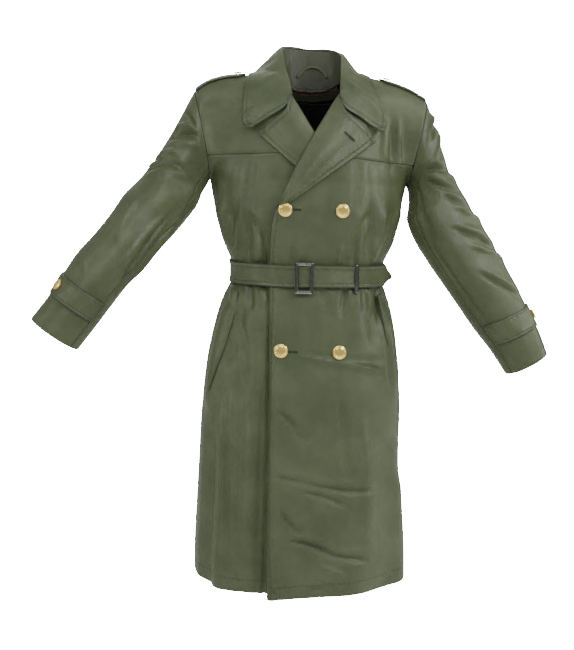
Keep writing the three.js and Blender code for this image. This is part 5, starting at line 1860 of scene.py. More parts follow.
@dataclass
class Collar:
    """The collar's stand, its roll and its leaf."""

    wardrobe: Wardrobe
    stand_share: float = 0.8
    stand_top: float = 0.93
    stand_foot: float = -0.055
    stand_reach: float = 0.78
    roll_radius: float = 4.0
    clearance: float = 2.0
    softness: float = 2.4
    tip_radius: float = 9.0
    stitch: float = 8.0
    leaf_columns: int = 190
    leaf_span: float = 200.0
    stand_span: float = 150.0
    stand_rise: float = 90.0
    notch: tuple[float, float] = (58.0, -75.0)
    seam: Table = Table(
        "share x z face",
        (
            (0, 0, -24, 1),
            (0.2, 32, -21, 1),
            (0.4, 60, -8, 1),
            (0.55, 74, 3, 0),
            (0.7, 68, -5, -1),
            (0.85, 57, -23, -1),
            (1, 47, -50, -1),
        ),
    )
    right: Table = Table(
        "share roll_x roll_y roll_z edge_x edge_y edge_z bow",
        (
            (0, 0, 86, 67, 0, 108, -46, 12),
            (0.13, 26, 82, 68, 44, 104, -44, 12),
            (0.26, 46, 68, 67, 84, 90, -34, 11),
            (0.38, 58, 47, 63, 110, 60, -17, 8),
            (0.5, 61, 24, 54, 121, 24, 0, 5),
            (0.62, 59, -4, 34, 129, -18, -9, 6),
            (0.74, 55, -36, 6, 137, -56, -42, 7),
            (0.86, 50, -68, -18, 142, -92, -84, 6),
            (0.95, 47, -86, -36, 140, -104, -107, 4),
            (1, 46, -95, -46, 130, -110, -117, 2),
        ),
    )
    left: Table = Table(
        "share roll_x roll_y roll_z edge_x edge_y edge_z bow",
        (
            (0, 0, 86, 67, 0, 108, -46, 12),
            (0.13, 26, 82, 66, 42, 104, -45, 11),
            (0.26, 46, 68, 62, 78, 90, -38, 8),
            (0.38, 58, 47, 54, 98, 60, -22, 3),
            (0.5, 61, 24, 47, 104, 24, -2, -2),
            (0.62, 58, -4, 31, 110, -18, -8, 0),
            (0.74, 55, -36, 6, 124, -56, -36, 5),
            (0.86, 53, -68, -18, 140, -92, -74, 6),
            (0.95, 51, -88, -36, 143, -104, -100, 4),
            (1, 50, -98, -46, 136, -112, -117, 2),
        ),
    )

    def column(self, share: Array, name: str) -> Array:
        """A size of the collar's section on the share's own side."""
        reach = np.abs(share)
        return np.where(share < 0, self.right.read(reach, name), self.left.read(reach, name))

    def neck(self, share: Array) -> Array:
        """Points of the neck seam.

        Args:
            share: share of the way round, negative on the wearer's right.

        Returns:
            The points, in millimetres.
        """
        reach = np.abs(share)
        x = np.where(share < 0, -1, 1) * self.seam.read(reach, "x")
        z = self.seam.read(reach, "z")
        facing = self.seam.read(reach, "face", smooth=False)
        turn, height = FORM.locate(x, z)
        mixed = np.clip(facing + 0.5, 0, 1)
        return lerp(FORM.point(-1, turn, height), FORM.point(1, turn, height), mixed[..., None])

    def away(self, points: Array) -> Array:
        """Directions away from the neck's axis.

        Args:
            points: points of the collar.

        Returns:
            The directions, of length 1.
        """
        flat = points - np.array([0, 4, 0])
        flat[..., 2] = 0
        return unit(flat)

    def line(self, share: Array, name: str) -> Array:
        """Points of the top of the roll, or of the leaf's outer edge."""
        x, y, z = (self.column(share, f"{name}_{axis}") for axis in "xyz")
        return np.stack([np.where(share < 0, -1, 1) * x, y, z], -1)

    def stand(self, share: Array, up: Array) -> Array:
        """Points of the stand's middle, from the neck seam (0) to the top of the roll (1).

        Args:
            share: share of the way round, negative on the wearer's right.
            up: share of the way up.

        Returns:
            The points, in millimetres.
        """
        foot = self.neck(share)
        foot = foot - self.away(foot) * 3.2
        return lerp(foot, self.line(share, "roll"), np.asarray(up)[..., None])

    def _clear(self, share: Array, points: Array, extra: float) -> Array:
        """Points moved clear of the coat by the cloth's thickness and extra."""
        lift = np.where(share > 0, front_lift(True, points[..., 0], points[..., 2]), 0)
        return FORM.clear(points, lift + CLOTH + GAP + CLOTH / 2 + extra)

    def _leaf(self, share: Array) -> Array:
        """The leaf's middle grid, from inside the roll to the outer edge.

        Args:
            share: share of the way round, negative on the wearer's right.

        Returns:
            Rows and columns of points.
        """
        side = np.where(share < 0, -1, 1)
        roll, edge = self.line(share, "roll"), self.line(share, "edge")
        foot = self.stand(share, 0.0)
        away = self.away(roll)
        rise = np.linalg.norm(roll - foot, axis=-1)
        radius = np.clip(rise * (1 - self.stand_share) * 0.8, 1.1, self.roll_radius)[:, None]
        up = unit(roll - foot)
        over = unit(away - up * dot(away, up))
        centre = roll + over * radius - up * radius
        rows = [self.stand(share, self.stand_top + 0.012)]
        for angle in (0.01, 0.35, 0.7, 1.05, 1.35, math.pi / 2):
            point = centre - over * radius * math.cos(angle) + up * radius * math.sin(angle)
            free = self._clear(share, point, 0.4)
            open_end = (np.abs(share) > self.stand_reach) & (angle > 0.02)
            rows.append(np.where(open_end[:, None], free, point))
        start = rows[-1]
        lean = away.copy()
        lean[:, 2] = 0.35
        bow = unit(lean) * self.column(share, "bow")[:, None]
        pulls = [start, start + away * 8 + bow * 0.3, lerp(start, edge, 0.62) + bow, edge]
        notch_x, notch_z = self.notch
        notch = np.stack([side * (notch_x + 3), roll[:, 1] - 10, np.full(len(share), notch_z + 3)], -1)
        stops = [start, notch, lerp(notch, edge, 0.5), edge]
        blend = smoothstep(np.abs(share), 0.9, 1)[:, None]
        for reach in np.linspace(0, 1, 27)[1:]:
            back = 1 - reach
            weights = (back**3, 3 * reach * back**2, 3 * reach**2 * back, reach**3)
            curve = sum(pull * weight for pull, weight in zip(pulls, weights))
            point = lerp(curve, self._through(stops, reach), blend)
            soft = self.softness * math.sin(math.pi * reach)
            rows.append(self._clear(share, point, self.clearance + soft))
        return np.stack(rows, 0)

    def _through(self, stops: list[Array], reach: float) -> Array:
        """Points of the smooth curve through four stops.

        Args:
            stops: the four stops.
            reach: share of the way along the curve.

        Returns:
            The points there.
        """
        place = min(int(reach * 3), 2)
        t = reach * 3 - place
        before = stops[max(place - 1, 0)]
        a, b = stops[place], stops[place + 1]
        after = stops[min(place + 2, 3)]
        start, end = (b - before) / 2, (after - a) / 2
        return (
            a * (2 * t**3 - 3 * t**2 + 1)
            + start * (t**3 - 2 * t**2 + t)
            + b * (3 * t**2 - 2 * t**3)
            + end * (t**3 - t**2)
        )

    def _soften(self, grid: Array, share: Array) -> Array:
        """The grid with the bend at the centre back evened out."""
        weight = np.broadcast_to(bump(share, 0.16), grid.shape[:2]).copy()
        return relax(grid, weight, 40)

    def build(self) -> None:
        """Builds the stand, the leaf and its stitching."""
        share = np.linspace(-self.stand_reach, self.stand_reach, 130)
        levels = np.linspace(self.stand_foot, self.stand_top, 26)
        stand = np.stack([self.stand(share, np.full(share.shape, up)) for up in levels], 0)
        stand = self._soften(stand, share)
        across = np.broadcast_to(share, stand.shape[:2]) * self.stand_span
        wave = crease_lift(STAND_CREASES, across, levels[:, None] * self.stand_rise)
        stand = stand + self.away(stand) * wave[..., None]
        stand_sheet = Sheet.about("collar_stand_cloth", stand, CLOTH, {Edge.FIRST_ROW: 5.0})
        # The stand wears the darker twill copy, painted shade for the inside of the neck.
        self.wardrobe.sheet(stand_sheet, "folded", ["back"], "collar_stand", finish="twill_painted_shade")
        even = np.linspace(-1, 1, self.leaf_columns)
        share = np.sin(np.linspace(-math.pi / 2, math.pi / 2, self.leaf_columns)) * 0.35 + even * 0.65
        leaf = self._soften(self._leaf(share), share)
        reach = run_along(leaf, 0)
        lift = crease_lift(LEAF_CREASES, np.broadcast_to(share * self.leaf_span, reach.shape), reach)
        normal = grid_normals(leaf)
        normal = normal * np.sign(dot(normal, self.away(leaf)))
        leaf = leaf + normal * (lift * smoothstep(reach, 12, 30))[..., None]
        for last_column in (False, True):
            leaf = round_corner(leaf, self.tip_radius, True, last_column)
        stitched = {key: self.stitch for key in (Edge.LAST_ROW, Edge.FIRST_COLUMN, Edge.LAST_COLUMN)}
        sheet = Sheet.about("collar_leaf_cloth", leaf, CLOTH, stitched)
        if dot(grid_normals(leaf)[20, 95], np.array([0.0, 1.0, 0.0]))[0] < 0:
            sheet = Sheet(sheet.name, sheet.inner, sheet.outer, stitched)
        self.wardrobe.sheet(sheet, "folded", ["collar_stand"], "collar_leaf")
        self.wardrobe.sew("collar_stitches", sheet)


# ---- sleeves ----


@dataclass
class Sleeve:
    """One sleeve with its cuff lining, strap and strap button."""

    wardrobe: Wardrobe
    side: Side
    sections: Table
    folds: tuple
    creases: tuple
    button_round: float
    uneven: Unevenness
    last: float = 11.0
    back_seam: float = 2 / 3
    strap_top: float = 8.9
    strap_bottom: float = 9.78
    strap_from: float = -0.77
    strap_to: float = 0.5
    strap_inset: float = 5.0
    lining_top: float = 9.7
    lining_foot: float = 10.97
    lining_inner: float = -1.8
    lining_outer: float = -0.6
    strap_lift: float = CLOTH + GAP + 0.7
    crease_depth: float = 1.5

    @property
    def front_seam(self) -> float:
        """Where round the sleeve its front seam runs."""
        turn = np.array([self.side.value * SEAM_TURN])
        return float(yoke_height(turn)[0]) * 2 / 3 - 1

    def point(self, along: Array, around: Array) -> Array:
        """Points of the sleeve's inner surface.

        Args:
            along: sections from the armhole.
            around: -1 (inner side) over 0 (outer side) to 1, negative by the front.

        Returns:
            The points, in millimetres.
        """
        along, around = np.broadcast_arrays(np.asarray(along, float), np.asarray(around, float))
        read = {name: self.sections.read(along, name) for name in self.sections.names.split()[1:]}
        swell = np.ones(along.shape)
        for at, turn, long, wide, rise, lean in self.folds:
            middle = turn + lean * (along - at)
            swell = swell + rise * bump(around - middle, wide) * bump(along - at, long) / SLEEVE_HALF
        angle = np.pi * around
        half_x, half_z = (read["out_x"] - read["in_x"]) / 2, (read["out_z"] - read["in_z"]) / 2
        x = (read["out_x"] + read["in_x"]) / 2 + half_x * np.cos(angle) * swell
        z = (read["out_z"] + read["in_z"]) / 2 + half_z * np.cos(angle) * swell
        y = read["y"] + read["deep"] * np.sin(angle) * swell
        return np.stack([self.side.value * x, y, z], -1)

    def normal(self, along: Array, around: Array) -> Array:
        """Directions straight out of the sleeve.

        Args:
            along: sections from the armhole.
            around: share of the way round, negative by the front.

        Returns:
            The directions, of length 1.
        """
        along, around = np.broadcast_arrays(np.asarray(along, float), np.asarray(around, float))
        across = self.point(along, around + 0.02) - self.point(along, around - 0.02)
        below = self.point(np.minimum(along + 0.1, 11), around)
        down = below - self.point(np.maximum(along - 0.1, 0), around)
        return unit(np.cross(across, down)) * -self.side.value

    def lay(self, along: Array, around: Array, lift: Array) -> Array:
        """Points that stand off the sleeve by lift and its unevenness.

        Args:
            along: sections from the armhole.
            around: share of the way round, negative by the front.
            lift: distance from the sleeve's inner surface.

        Returns:
            The points, in millimetres.
        """
        angle = np.pi * around
        wave = self.uneven.lift(np.cos(angle) * 80 + along * 18, np.sin(angle) * 80 + along * 50)
        return self.point(along, around) + self.normal(along, around) * (lift + wave)[..., None]

    def _rim(self, around: Array) -> tuple[Array, Array]:
        """The armhole's edge, inner and outer, where the sleeve is set in.

        Args:
            around: share of the way round, negative by the front.

        Returns:
            Points of the inner and of the outer edge.
        """
        face = np.where(around < 0, -1.0, 1.0)
        height = 1 - np.abs(around)
        turn = np.full(around.shape, self.side.value * SEAM_TURN)
        base = FORM.point(face, turn, height)
        normal = FORM.normal(face, turn, height)
        normal[..., 0] *= 1 - 0.9 * smoothstep(height, 0.02, 0.2)
        normal = unit(normal)
        rise = FORM.uneven.lift(base[..., 0], base[..., 2]) - 1.0
        inner = base + normal * rise[..., None]
        outer = inner + normal * CLOTH
        outer[..., 2] -= CLOTH * ARMHOLE_MITRE * np.maximum(np.cos(np.pi * height), 0) ** 3
        shift = np.array([self.side.value * GAP * 2, 0, 0])
        return inner + shift, outer + shift

    def _panel(self, name: str, low: float, high: float, columns: int) -> Sheet:
        """One long panel of the sleeve between two seams.

        Args:
            name: the piece's name.
            low: where round the sleeve it starts.
            high: where round the sleeve it ends.
            columns: number of columns.

        Returns:
            The sheet.
        """
        rows = np.concatenate([np.linspace(0, 0.5, 6)[:-1], np.linspace(0.5, self.last, 118)])
        across = np.linspace(low, high, columns)
        along, around = grid_of(rows, across)
        around = np.where(around > 1, around - 2, around)
        wide = self.crease_depth * crease_lift(self.creases, along * 50, around * 200)
        wide = wide * smoothstep(along, 0.02, 0.35) * (1 - smoothstep(along, 10.4, 11))
        strap = smoothstep(along, self.strap_top - 0.3, self.strap_top)
        strap = strap * (1 - smoothstep(along, self.strap_bottom, self.strap_bottom + 0.3))
        wide = wide * (1 - strap)
        seam = np.minimum(np.abs(around - self.front_seam), np.abs(around - self.back_seam)) * 220
        pinch = 1.2 * np.exp(-((seam / 3.5) ** 2))
        body = np.maximum(along, 0.5)
        inner = self.lay(body, around, wide - pinch)
        outer = self.lay(body, around, wide - pinch + CLOTH)
        rim_inner, rim_outer = self._rim(across if high <= 1 else np.where(across > 1, across - 2, across))
        share = np.clip(along / 0.5, 0, 1)[..., None]
        ease = 1 - (1 - share) ** 1.6
        inner = lerp(rim_inner[None], inner, np.where(along[..., None] < 0.5, ease, 1))
        outer = lerp(rim_outer[None], outer, np.where(along[..., None] < 0.5, ease, 1))
        for grid in (inner, outer):
            grid[:, 0] += unit(grid[:, 1] - grid[:, 0]) * 0.15
            grid[:, -1] += unit(grid[:, -2] - grid[:, -1]) * 0.15
        return Sheet(name, outer, inner)

    def _strap(self) -> Sheet:
        """The cuff strap, laid round the sleeve."""
        base = self.strap_lift
        rows = np.linspace(self.strap_top, self.strap_bottom, 14)
        across = np.linspace(self.strap_from, self.strap_to, 110)
        along, around = grid_of(rows, across)
        ripple = 0.5 * np.sin(around * 41) * np.sin(along * 4)
        inner = self.lay(along, around, base + ripple)
        outer = self.lay(along, around, base + DOUBLE_CLOTH + ripple)
        insets = {key: self.strap_inset for key in Edge}
        for corner in ((False, False), (False, True), (True, False), (True, True)):
            inner, outer = (round_corner(grid, self.strap_inset, *corner) for grid in (inner, outer))
        return Sheet(f"strap_band_{self.side.label}", outer, inner, insets)

    def build(self) -> None:
        """Builds the sleeve's panels, lining, strap and button."""
        name = self.side.label
        upper = self._panel(f"sleeve_top_{name}", self.front_seam, self.back_seam, 104)
        under = self._panel(f"sleeve_bottom_{name}", self.back_seam, 2 + self.front_seam, 44)
        self.wardrobe.sheet(upper, "draped", ["back"], f"sleeve_upper_{name}")
        self.wardrobe.sheet(under, "draped", ["back"], f"sleeve_under_{name}")
        rows = np.linspace(self.lining_top, self.lining_foot, 16)
        across = np.linspace(-1, 1, 97)[:-1]
        along, around = grid_of(rows, across)
        inner = self.lay(along, around, np.full(along.shape, self.lining_inner))
        outer = self.lay(along, around, np.full(along.shape, self.lining_outer))
        lining = Sheet(f"cuff_lining_{name}", outer, inner, wrapped=True)
        satin = {"finish": "satin", "slot": Slot.LINING}
        self.wardrobe.sheet(lining, "draped", [f"sleeve_under_{name}"], f"sleeve_lining_{name}", **satin)
        strap = self._strap()
        self.wardrobe.sheet(strap, "stretched", [f"sleeve_upper_{name}"], f"strap_{name}")
        self.wardrobe.sew(f"strap_stitches_{name}", strap)
        along = np.array((self.strap_top + self.strap_bottom) / 2)
        around = np.array(self.button_round)
        place = self.lay(along, around, np.array(self.strap_lift + DOUBLE_CLOTH))
        button = Button(f"strap_gilt_{name}", radius=11.0, thick=4.5)
        made = button.build(place, self.normal(along, around))
        self.wardrobe.wear(made, "gilt", Slot.GILT, f"strap_button_{name}")


# ---- buttons, buckle and keeper ----


def basis(out: Array) -> Array:
    """Rows of side, top and out directions for an upright piece that lies on the cloth.

    Args:
        out: direction that it faces.

    Returns:
        Three rows of directions.
    """
    out = unit(out)
    side = unit(np.cross(np.array([0.0, 0.0, 1.0]), out))
    return np.stack([side, np.cross(out, side), out])


@dataclass(frozen=True)
class Button:
    """A domed gilt shank button with a plain roped border."""

    name: str
    radius: float
    thick: float
    sides: int = 144
    ropes: int = 30
    rope_rise: float = 0.07

    def profile(self) -> list[tuple[float, float, float]]:
        """Radius, height and rope height, as shares, from the middle to the underside."""
        return [
            (0.02, 1.0, 0),
            (0.22, 0.995, 0),
            (0.42, 0.965, 0),
            (0.58, 0.91, 0),
            (0.655, 0.86, 0),
            (0.69, 0.78, 0),
            (0.72, 0.78, 0),
            (0.745, 0.85, 0.5),
            (0.79, 0.90, 1),
            (0.835, 0.86, 0.5),
            (0.86, 0.76, 0),
            (0.90, 0.74, 0),
            (0.955, 0.72, 0),
            (0.99, 0.62, 0),
            (1.0, 0.48, 0),
            (0.985, 0.36, 0),
            (0.9, 0.16, 0),
            (0.8, 0.02, 0),
            (0.4, 0.0, 0),
            (0.02, 0.0, 0),
        ]

    def build(self, place: Array, out: Array) -> bpy.types.Object:
        """Makes the button's mesh.

        Args:
            place: middle of its underside.
            out: direction it faces.

        Returns:
            The object.
        """
        angle = 2 * np.pi * np.arange(self.sides) / self.sides
        rings = []
        for radius, height, rope in self.profile():
            twist = np.cos(self.ropes * angle + radius * 26) * rope
            level = np.full(angle.shape, height * self.thick) + twist * self.rope_rise * self.thick
            spoke = radius * self.radius
            rings.append(np.stack([np.cos(angle) * spoke, np.sin(angle) * spoke, level], -1))
        points = np.concatenate(rings) @ basis(out) + place
        return make_object(self.name, points, tube_faces(len(rings), len(angle)))


@dataclass(frozen=True)
class Buttonhole:
    """A worked buttonhole: a raised ring of close stitches round a slit."""

    name: str
    start: tuple[float, float]
    end: tuple[float, float]
    half_wide: float = 1.3
    radius: float = 0.75
    sides: int = 8
    steps: int = 120

    def build(self, sheet: Sheet) -> bpy.types.Object:
        """Makes the ring on the outer surface of a sheet.

        Args:
            sheet: the cloth that it is worked in.

        Returns:
            The object.
        """
        start, end = np.array(self.start), np.array(self.end)
        run = unit(end - start)
        side = np.array([-run[1], run[0]])
        angle = 2 * np.pi * np.arange(self.steps) / self.steps
        ends = np.where(np.cos(angle)[:, None] < 0, start, end)
        flat = ends + (run * np.cos(angle)[:, None] + side * np.sin(angle)[:, None]) * self.half_wide
        spread = np.linspace(0, 1, 24)[1:-1, None]
        upper = lerp(start, end, spread) + side * self.half_wide
        lower = lerp(end, start, spread) - side * self.half_wide
        quarter = self.steps // 4
        first, half, rest = np.split(flat, [quarter, 3 * quarter])
        points, out = self._on(sheet, np.concatenate([first, upper[::-1], half, lower[::-1], rest]))
        along = unit(np.roll(points, -1, 0) - np.roll(points, 1, 0))
        across = unit(np.cross(along, out))
        ridge = 1 + 0.22 * np.cos(np.arange(len(points)) * math.pi)
        rings = []
        for turn in 2 * np.pi * np.arange(self.sides) / self.sides:
            spoke = across * math.cos(turn) + out * math.sin(turn)
            rings.append(points + out * 0.25 + spoke * (self.radius * ridge)[:, None])
        grid = np.stack(rings, 1)
        faces = tube_faces(len(points), self.sides, capped=False)
        return make_object(self.name, grid.reshape(-1, 3), faces)

    def _on(self, sheet: Sheet, path: Array) -> tuple[Array, Array]:
        """Points of the sheet's outer surface over places x and z, and directions out.

        Args:
            sheet: the sheet.
            path: places across and up.

        Returns:
            Arrays of points and of directions.
        """
        out = grid_normals(sheet.outer)
        out = out * np.sign(dot(out, sheet.outer - sheet.inner))
        points, out = sheet.outer.reshape(-1, 3), out.reshape(-1, 3)
        front = points[:, 1] < 0
        points, out = points[front], out[front]
        found, ups = [], []
        for place in path:
            far = np.hypot(points[:, 0] - place[0], points[:, 2] - place[1])
            near = np.argsort(far)[:5]
            weight = 1 / (far[near] + 0.2)
            weight = weight / weight.sum()
            found.append([place[0], points[near, 1] @ weight, place[1]])
            ups.append(weight @ out[near])
        return np.array(found), unit(np.array(ups))


class FrontButtons:
    """The four buttons of the fronts."""

    names = ("upper_right", "upper_left", "lower_right", "lower_left")
    places = ((-54.0, -272.0), (57.0, -272.0), (-56.0, -554.0), (59.0, -555.0))
    radius = 14.0
    thick = 5.0

    def build(self, wardrobe: Wardrobe) -> None:
        """Builds the buttons on the fronts.

        Args:
            wardrobe: the finishes.
        """
        for name, (x, z) in zip(self.names, self.places):
            place, out = on_front(x, z, top_lift(np.array(x), np.array(z)) - GAP / 2)
            button = Button(f"gilt_{name}", self.radius, self.thick)
            wardrobe.wear(button.build(place, out), "gilt", Slot.GILT, f"button_{name}")


def on_front(x: float, z: float, lift: Array) -> tuple[Array, Array]:
    """A point that stands off the front at x and z, and the direction out there."""
    turn, height = FORM.locate(np.array(x), np.array(z))
    return FORM.lay(-1, turn, height, np.asarray(lift, float)), FORM.normal(-1, turn, height)


@dataclass
class Belt:
    """The belt, its buckle and its keeper."""

    wardrobe: Wardrobe
    top: float = -381.0
    bottom: float = -427.0
    start_x: float = 4.0
    buckle_x: float = -13.5
    buckle_z: float = -408.0
    keeper_x: float = 86.0
    tip_turn: float = 74.0
    tip_rise: float = 5.0
    tip_reach: float = 27.0
    point_z: float = -413.0
    upper_cut: float = 24.0
    lower_cut: float = 30.0
    run_a_degree: float = 2.4
    slack: float = 1.3
    stitch_top: float = 8.0
    stitch_bottom: float = 7.0
    stitch_end: float = 6.0

    @property
    def layer(self) -> float:
        """Distance between the belt's two layers."""
        return DOUBLE_CLOTH + GAP + 0.3

    def _turn(self, x: float) -> float:
        """The turn of the front at x, at the belt's level."""
        return float(FORM.locate(np.array(x), np.array(self.buckle_z))[0])

    def _run(self) -> tuple[Array, Array, Array]:
        """Face, turn and layer of the belt's stations, from under the overlap to the tip."""
        legs = [
            (-1, self._turn(self.start_x), SEAM_TURN, 60),
            (1, SEAM_TURN, -SEAM_TURN, 130),
            (-1, -SEAM_TURN, self._turn(-66), 36),
            (-1, self._turn(-66), self._turn(-10), 20),
            (-1, self._turn(-10), self.tip_turn - 8, 74),
            (-1, self.tip_turn - 8, self.tip_turn, 22),
        ]
        face = np.concatenate([np.full(count, float(sign)) for sign, _, _, count in legs])
        turn = np.concatenate([np.linspace(a, b, count, endpoint=False) for _, a, b, count in legs])
        before, rising = sum(leg[3] for leg in legs[:3]), legs[3][3]
        climb = smoothstep(np.linspace(0, 1, rising, endpoint=False), 0, 1)
        layer = np.concatenate([np.zeros(before), climb, np.ones(len(turn) - before - rising)])
        return face, turn, layer

    def _band(self) -> Sheet:
        """The belt itself."""
        face, turn, layer = self._run()
        up = np.linspace(0, 1, 17)[:, None]
        on_tip = (layer >= 1) * 1.0
        tip = np.clip((turn - (self.tip_turn - self.tip_reach)) / self.tip_reach, 0, 1) * on_tip
        left_over = (self.tip_turn - turn) * self.run_a_degree + (1 - on_tip) * 200
        upper = lerp(self.point_z + 1, self.top, np.clip(left_over / self.upper_cut, 0, 1))
        lower = lerp(self.point_z - 1, self.bottom, np.clip(left_over / self.lower_cut, 0, 1))
        station = np.arange(len(turn))
        wave = 0.9 * np.sin(station / 13.0) + 0.6 * np.sin(station / 5.7 + 1)
        z = lerp(lower, upper, up) + self.tip_rise * tip**1.5
        z = z + wave * 0.8 * (1 - on_tip * 0.6)
        face, turn, layer, tip = (np.broadcast_to(v, z.shape) for v in (face, turn, layer, tip))
        x = FORM.point(-1, turn, z - ARMPIT_Z)[..., 0]
        base = np.where(face < 0, top_lift(x, z), CLOTH + GAP)
        off_middle = np.abs(up - 0.5) * 2
        ripple = 0.5 * np.sin(station / 3.1)[None, :] * off_middle
        cup = 0.9 * off_middle**2
        lift = base + self.slack + layer * self.layer + 15 * tip**2 + ripple + cup
        inner = FORM.lay(face, turn, z - ARMPIT_Z, lift)
        outer = FORM.lay(face, turn, z - ARMPIT_Z, lift + DOUBLE_CLOTH)
        stitched = {
            Edge.FIRST_ROW: self.stitch_bottom,
            Edge.LAST_ROW: self.stitch_top,
            Edge.LAST_COLUMN: self.stitch_end,
        }
        return Sheet("belt_band", outer, inner, stitched)

    def _front(self, x: float, extra: float) -> tuple[Array, Array]:
        """A place on the belt's upper layer, and the direction out there."""
        lift = top_lift(np.array(x), np.array(self.buckle_z)) + self.slack + self.layer
        return on_front(x, self.buckle_z, lift + DOUBLE_CLOTH + GAP + extra)

    def build(self) -> None:
        """Builds the belt, its stitching, the buckle and the keeper."""
        band = self._band()
        self.wardrobe.sheet(band, "stretched", ["front_left", "back"], "belt")
        self.wardrobe.sew("belt_stitches", band)
        place, out = self._front(self.buckle_x, 1.0)
        buckle = BuckleFrame().build(place, out)
        self.wardrobe.wear(buckle, "steel", Slot.STEEL, "buckle")
        place, out = self._front(self.keeper_x, 1.5)
        self.wardrobe.wear(KeeperBand().build(place, out), "steel", Slot.STEEL, "keeper")


@dataclass(frozen=True)
class BuckleFrame:
    """An open rectangular buckle with broad bevelled bars."""

    width: float = 36.0
    height: float = 63.0
    bar: float = 7.0
    thick: float = 3.0
    outer_round: float = 2.2
    corner_steps: int = 6

    def _ring(self, inset: float) -> Array:
        """A rounded rectangle at a distance in from the outline.

        Args:
            inset: distance in from the outline.

        Returns:
            Points across and up.
        """
        radius = max(self.outer_round - inset * 0.25, 0.5)
        half = np.array([self.width / 2 - inset - radius, self.height / 2 - inset - radius])
        points = []
        for corner, (x, y) in enumerate(((1, 1), (-1, 1), (-1, -1), (1, -1))):
            for step in range(self.corner_steps + 1):
                angle = math.pi / 2 * (corner + step / self.corner_steps)
                spoke = radius * np.array([math.cos(angle), math.sin(angle)])
                points.append(half * (x, y) + spoke)
        return np.array(points)

    def build(self, place: Array, out: Array) -> bpy.types.Object:
        """Makes the frame as a ring of bevelled section.

        Args:
            place: middle of its underside.
            out: direction that it faces.

        Returns:
            The object.
        """
        bar, thick = self.bar, self.thick
        section = [
            (0.0, 0.6),
            (0.5, 0.0),
            (bar - 0.5, 0.0),
            (bar, 0.6),
            (bar, thick * 0.6),
            (bar - 0.5, thick * 0.9),
            (bar - 1.1, thick),
            (bar - 1.6, thick * 0.94),
            (bar - 2.3, thick * 0.66),
            (2.3, thick * 0.66),
            (1.6, thick * 0.94),
            (1.1, thick),
            (0.5, thick * 0.9),
            (0.0, thick * 0.6),
        ]
        rings = []
        for inset, height in section:
            flat = self._ring(inset)
            rings.append(np.column_stack([flat, np.full(len(flat), height)]))
        points = np.concatenate(rings) @ basis(out) + place
        faces = tube_faces(len(rings), len(rings[0]), capped=False)
        return make_object("buckle_frame", points, faces)


@dataclass(frozen=True)
class KeeperBand:
    """A slim metal keeper bent round the belt's edges."""

    width: float = 8.5
    height: float = 58.0
    thick: float = 1.8
    depth: float = 3.4
    bend: float = 1.6
    bevel: float = 0.6

    def build(self, place: Array, out: Array) -> bpy.types.Object:
        """Makes the keeper as a band swept along its bent outline.

        Args:
            place: middle of its underside.
            out: direction that it faces.

        Returns:
            The object.
        """
        half = self.height / 2 - self.thick / 2
        path = [(-half, -self.depth)]
        for corner in (-1, 1):
            centre = corner * (half - self.bend)
            angles = np.linspace(math.pi, math.pi / 2, 6) if corner < 0 else np.linspace(math.pi / 2, 0, 6)
            level = self.thick / 2 - self.bend
            path += [(centre + self.bend * math.cos(a), level + self.bend * math.sin(a)) for a in angles]
        path.append((half, -self.depth))
        path = np.array(path)
        run = unit(np.gradient(path, axis=0))
        side = np.column_stack([-run[:, 1], run[:, 0]])
        w, t = self.width / 2, self.thick / 2
        flat = w - self.bevel
        left, right = [(-w, -t / 2), (-w, t / 2), (-flat, t)], [(flat, t), (w, t / 2), (w, -t / 2)]
        section = [*left, *right, (flat, -t), (-flat, -t)]
        rows = []
        for (y, z), (sy, sz) in zip(path, side):
            rows.append([[across, y + sy * up, z + sz * up] for across, up in section])
        points = np.array(rows).reshape(-1, 3) @ basis(out) + place
        return make_object("keeper_band", points, tube_faces(len(rows), len(section)))


# ---- epaulettes, pockets, linings and loop ----


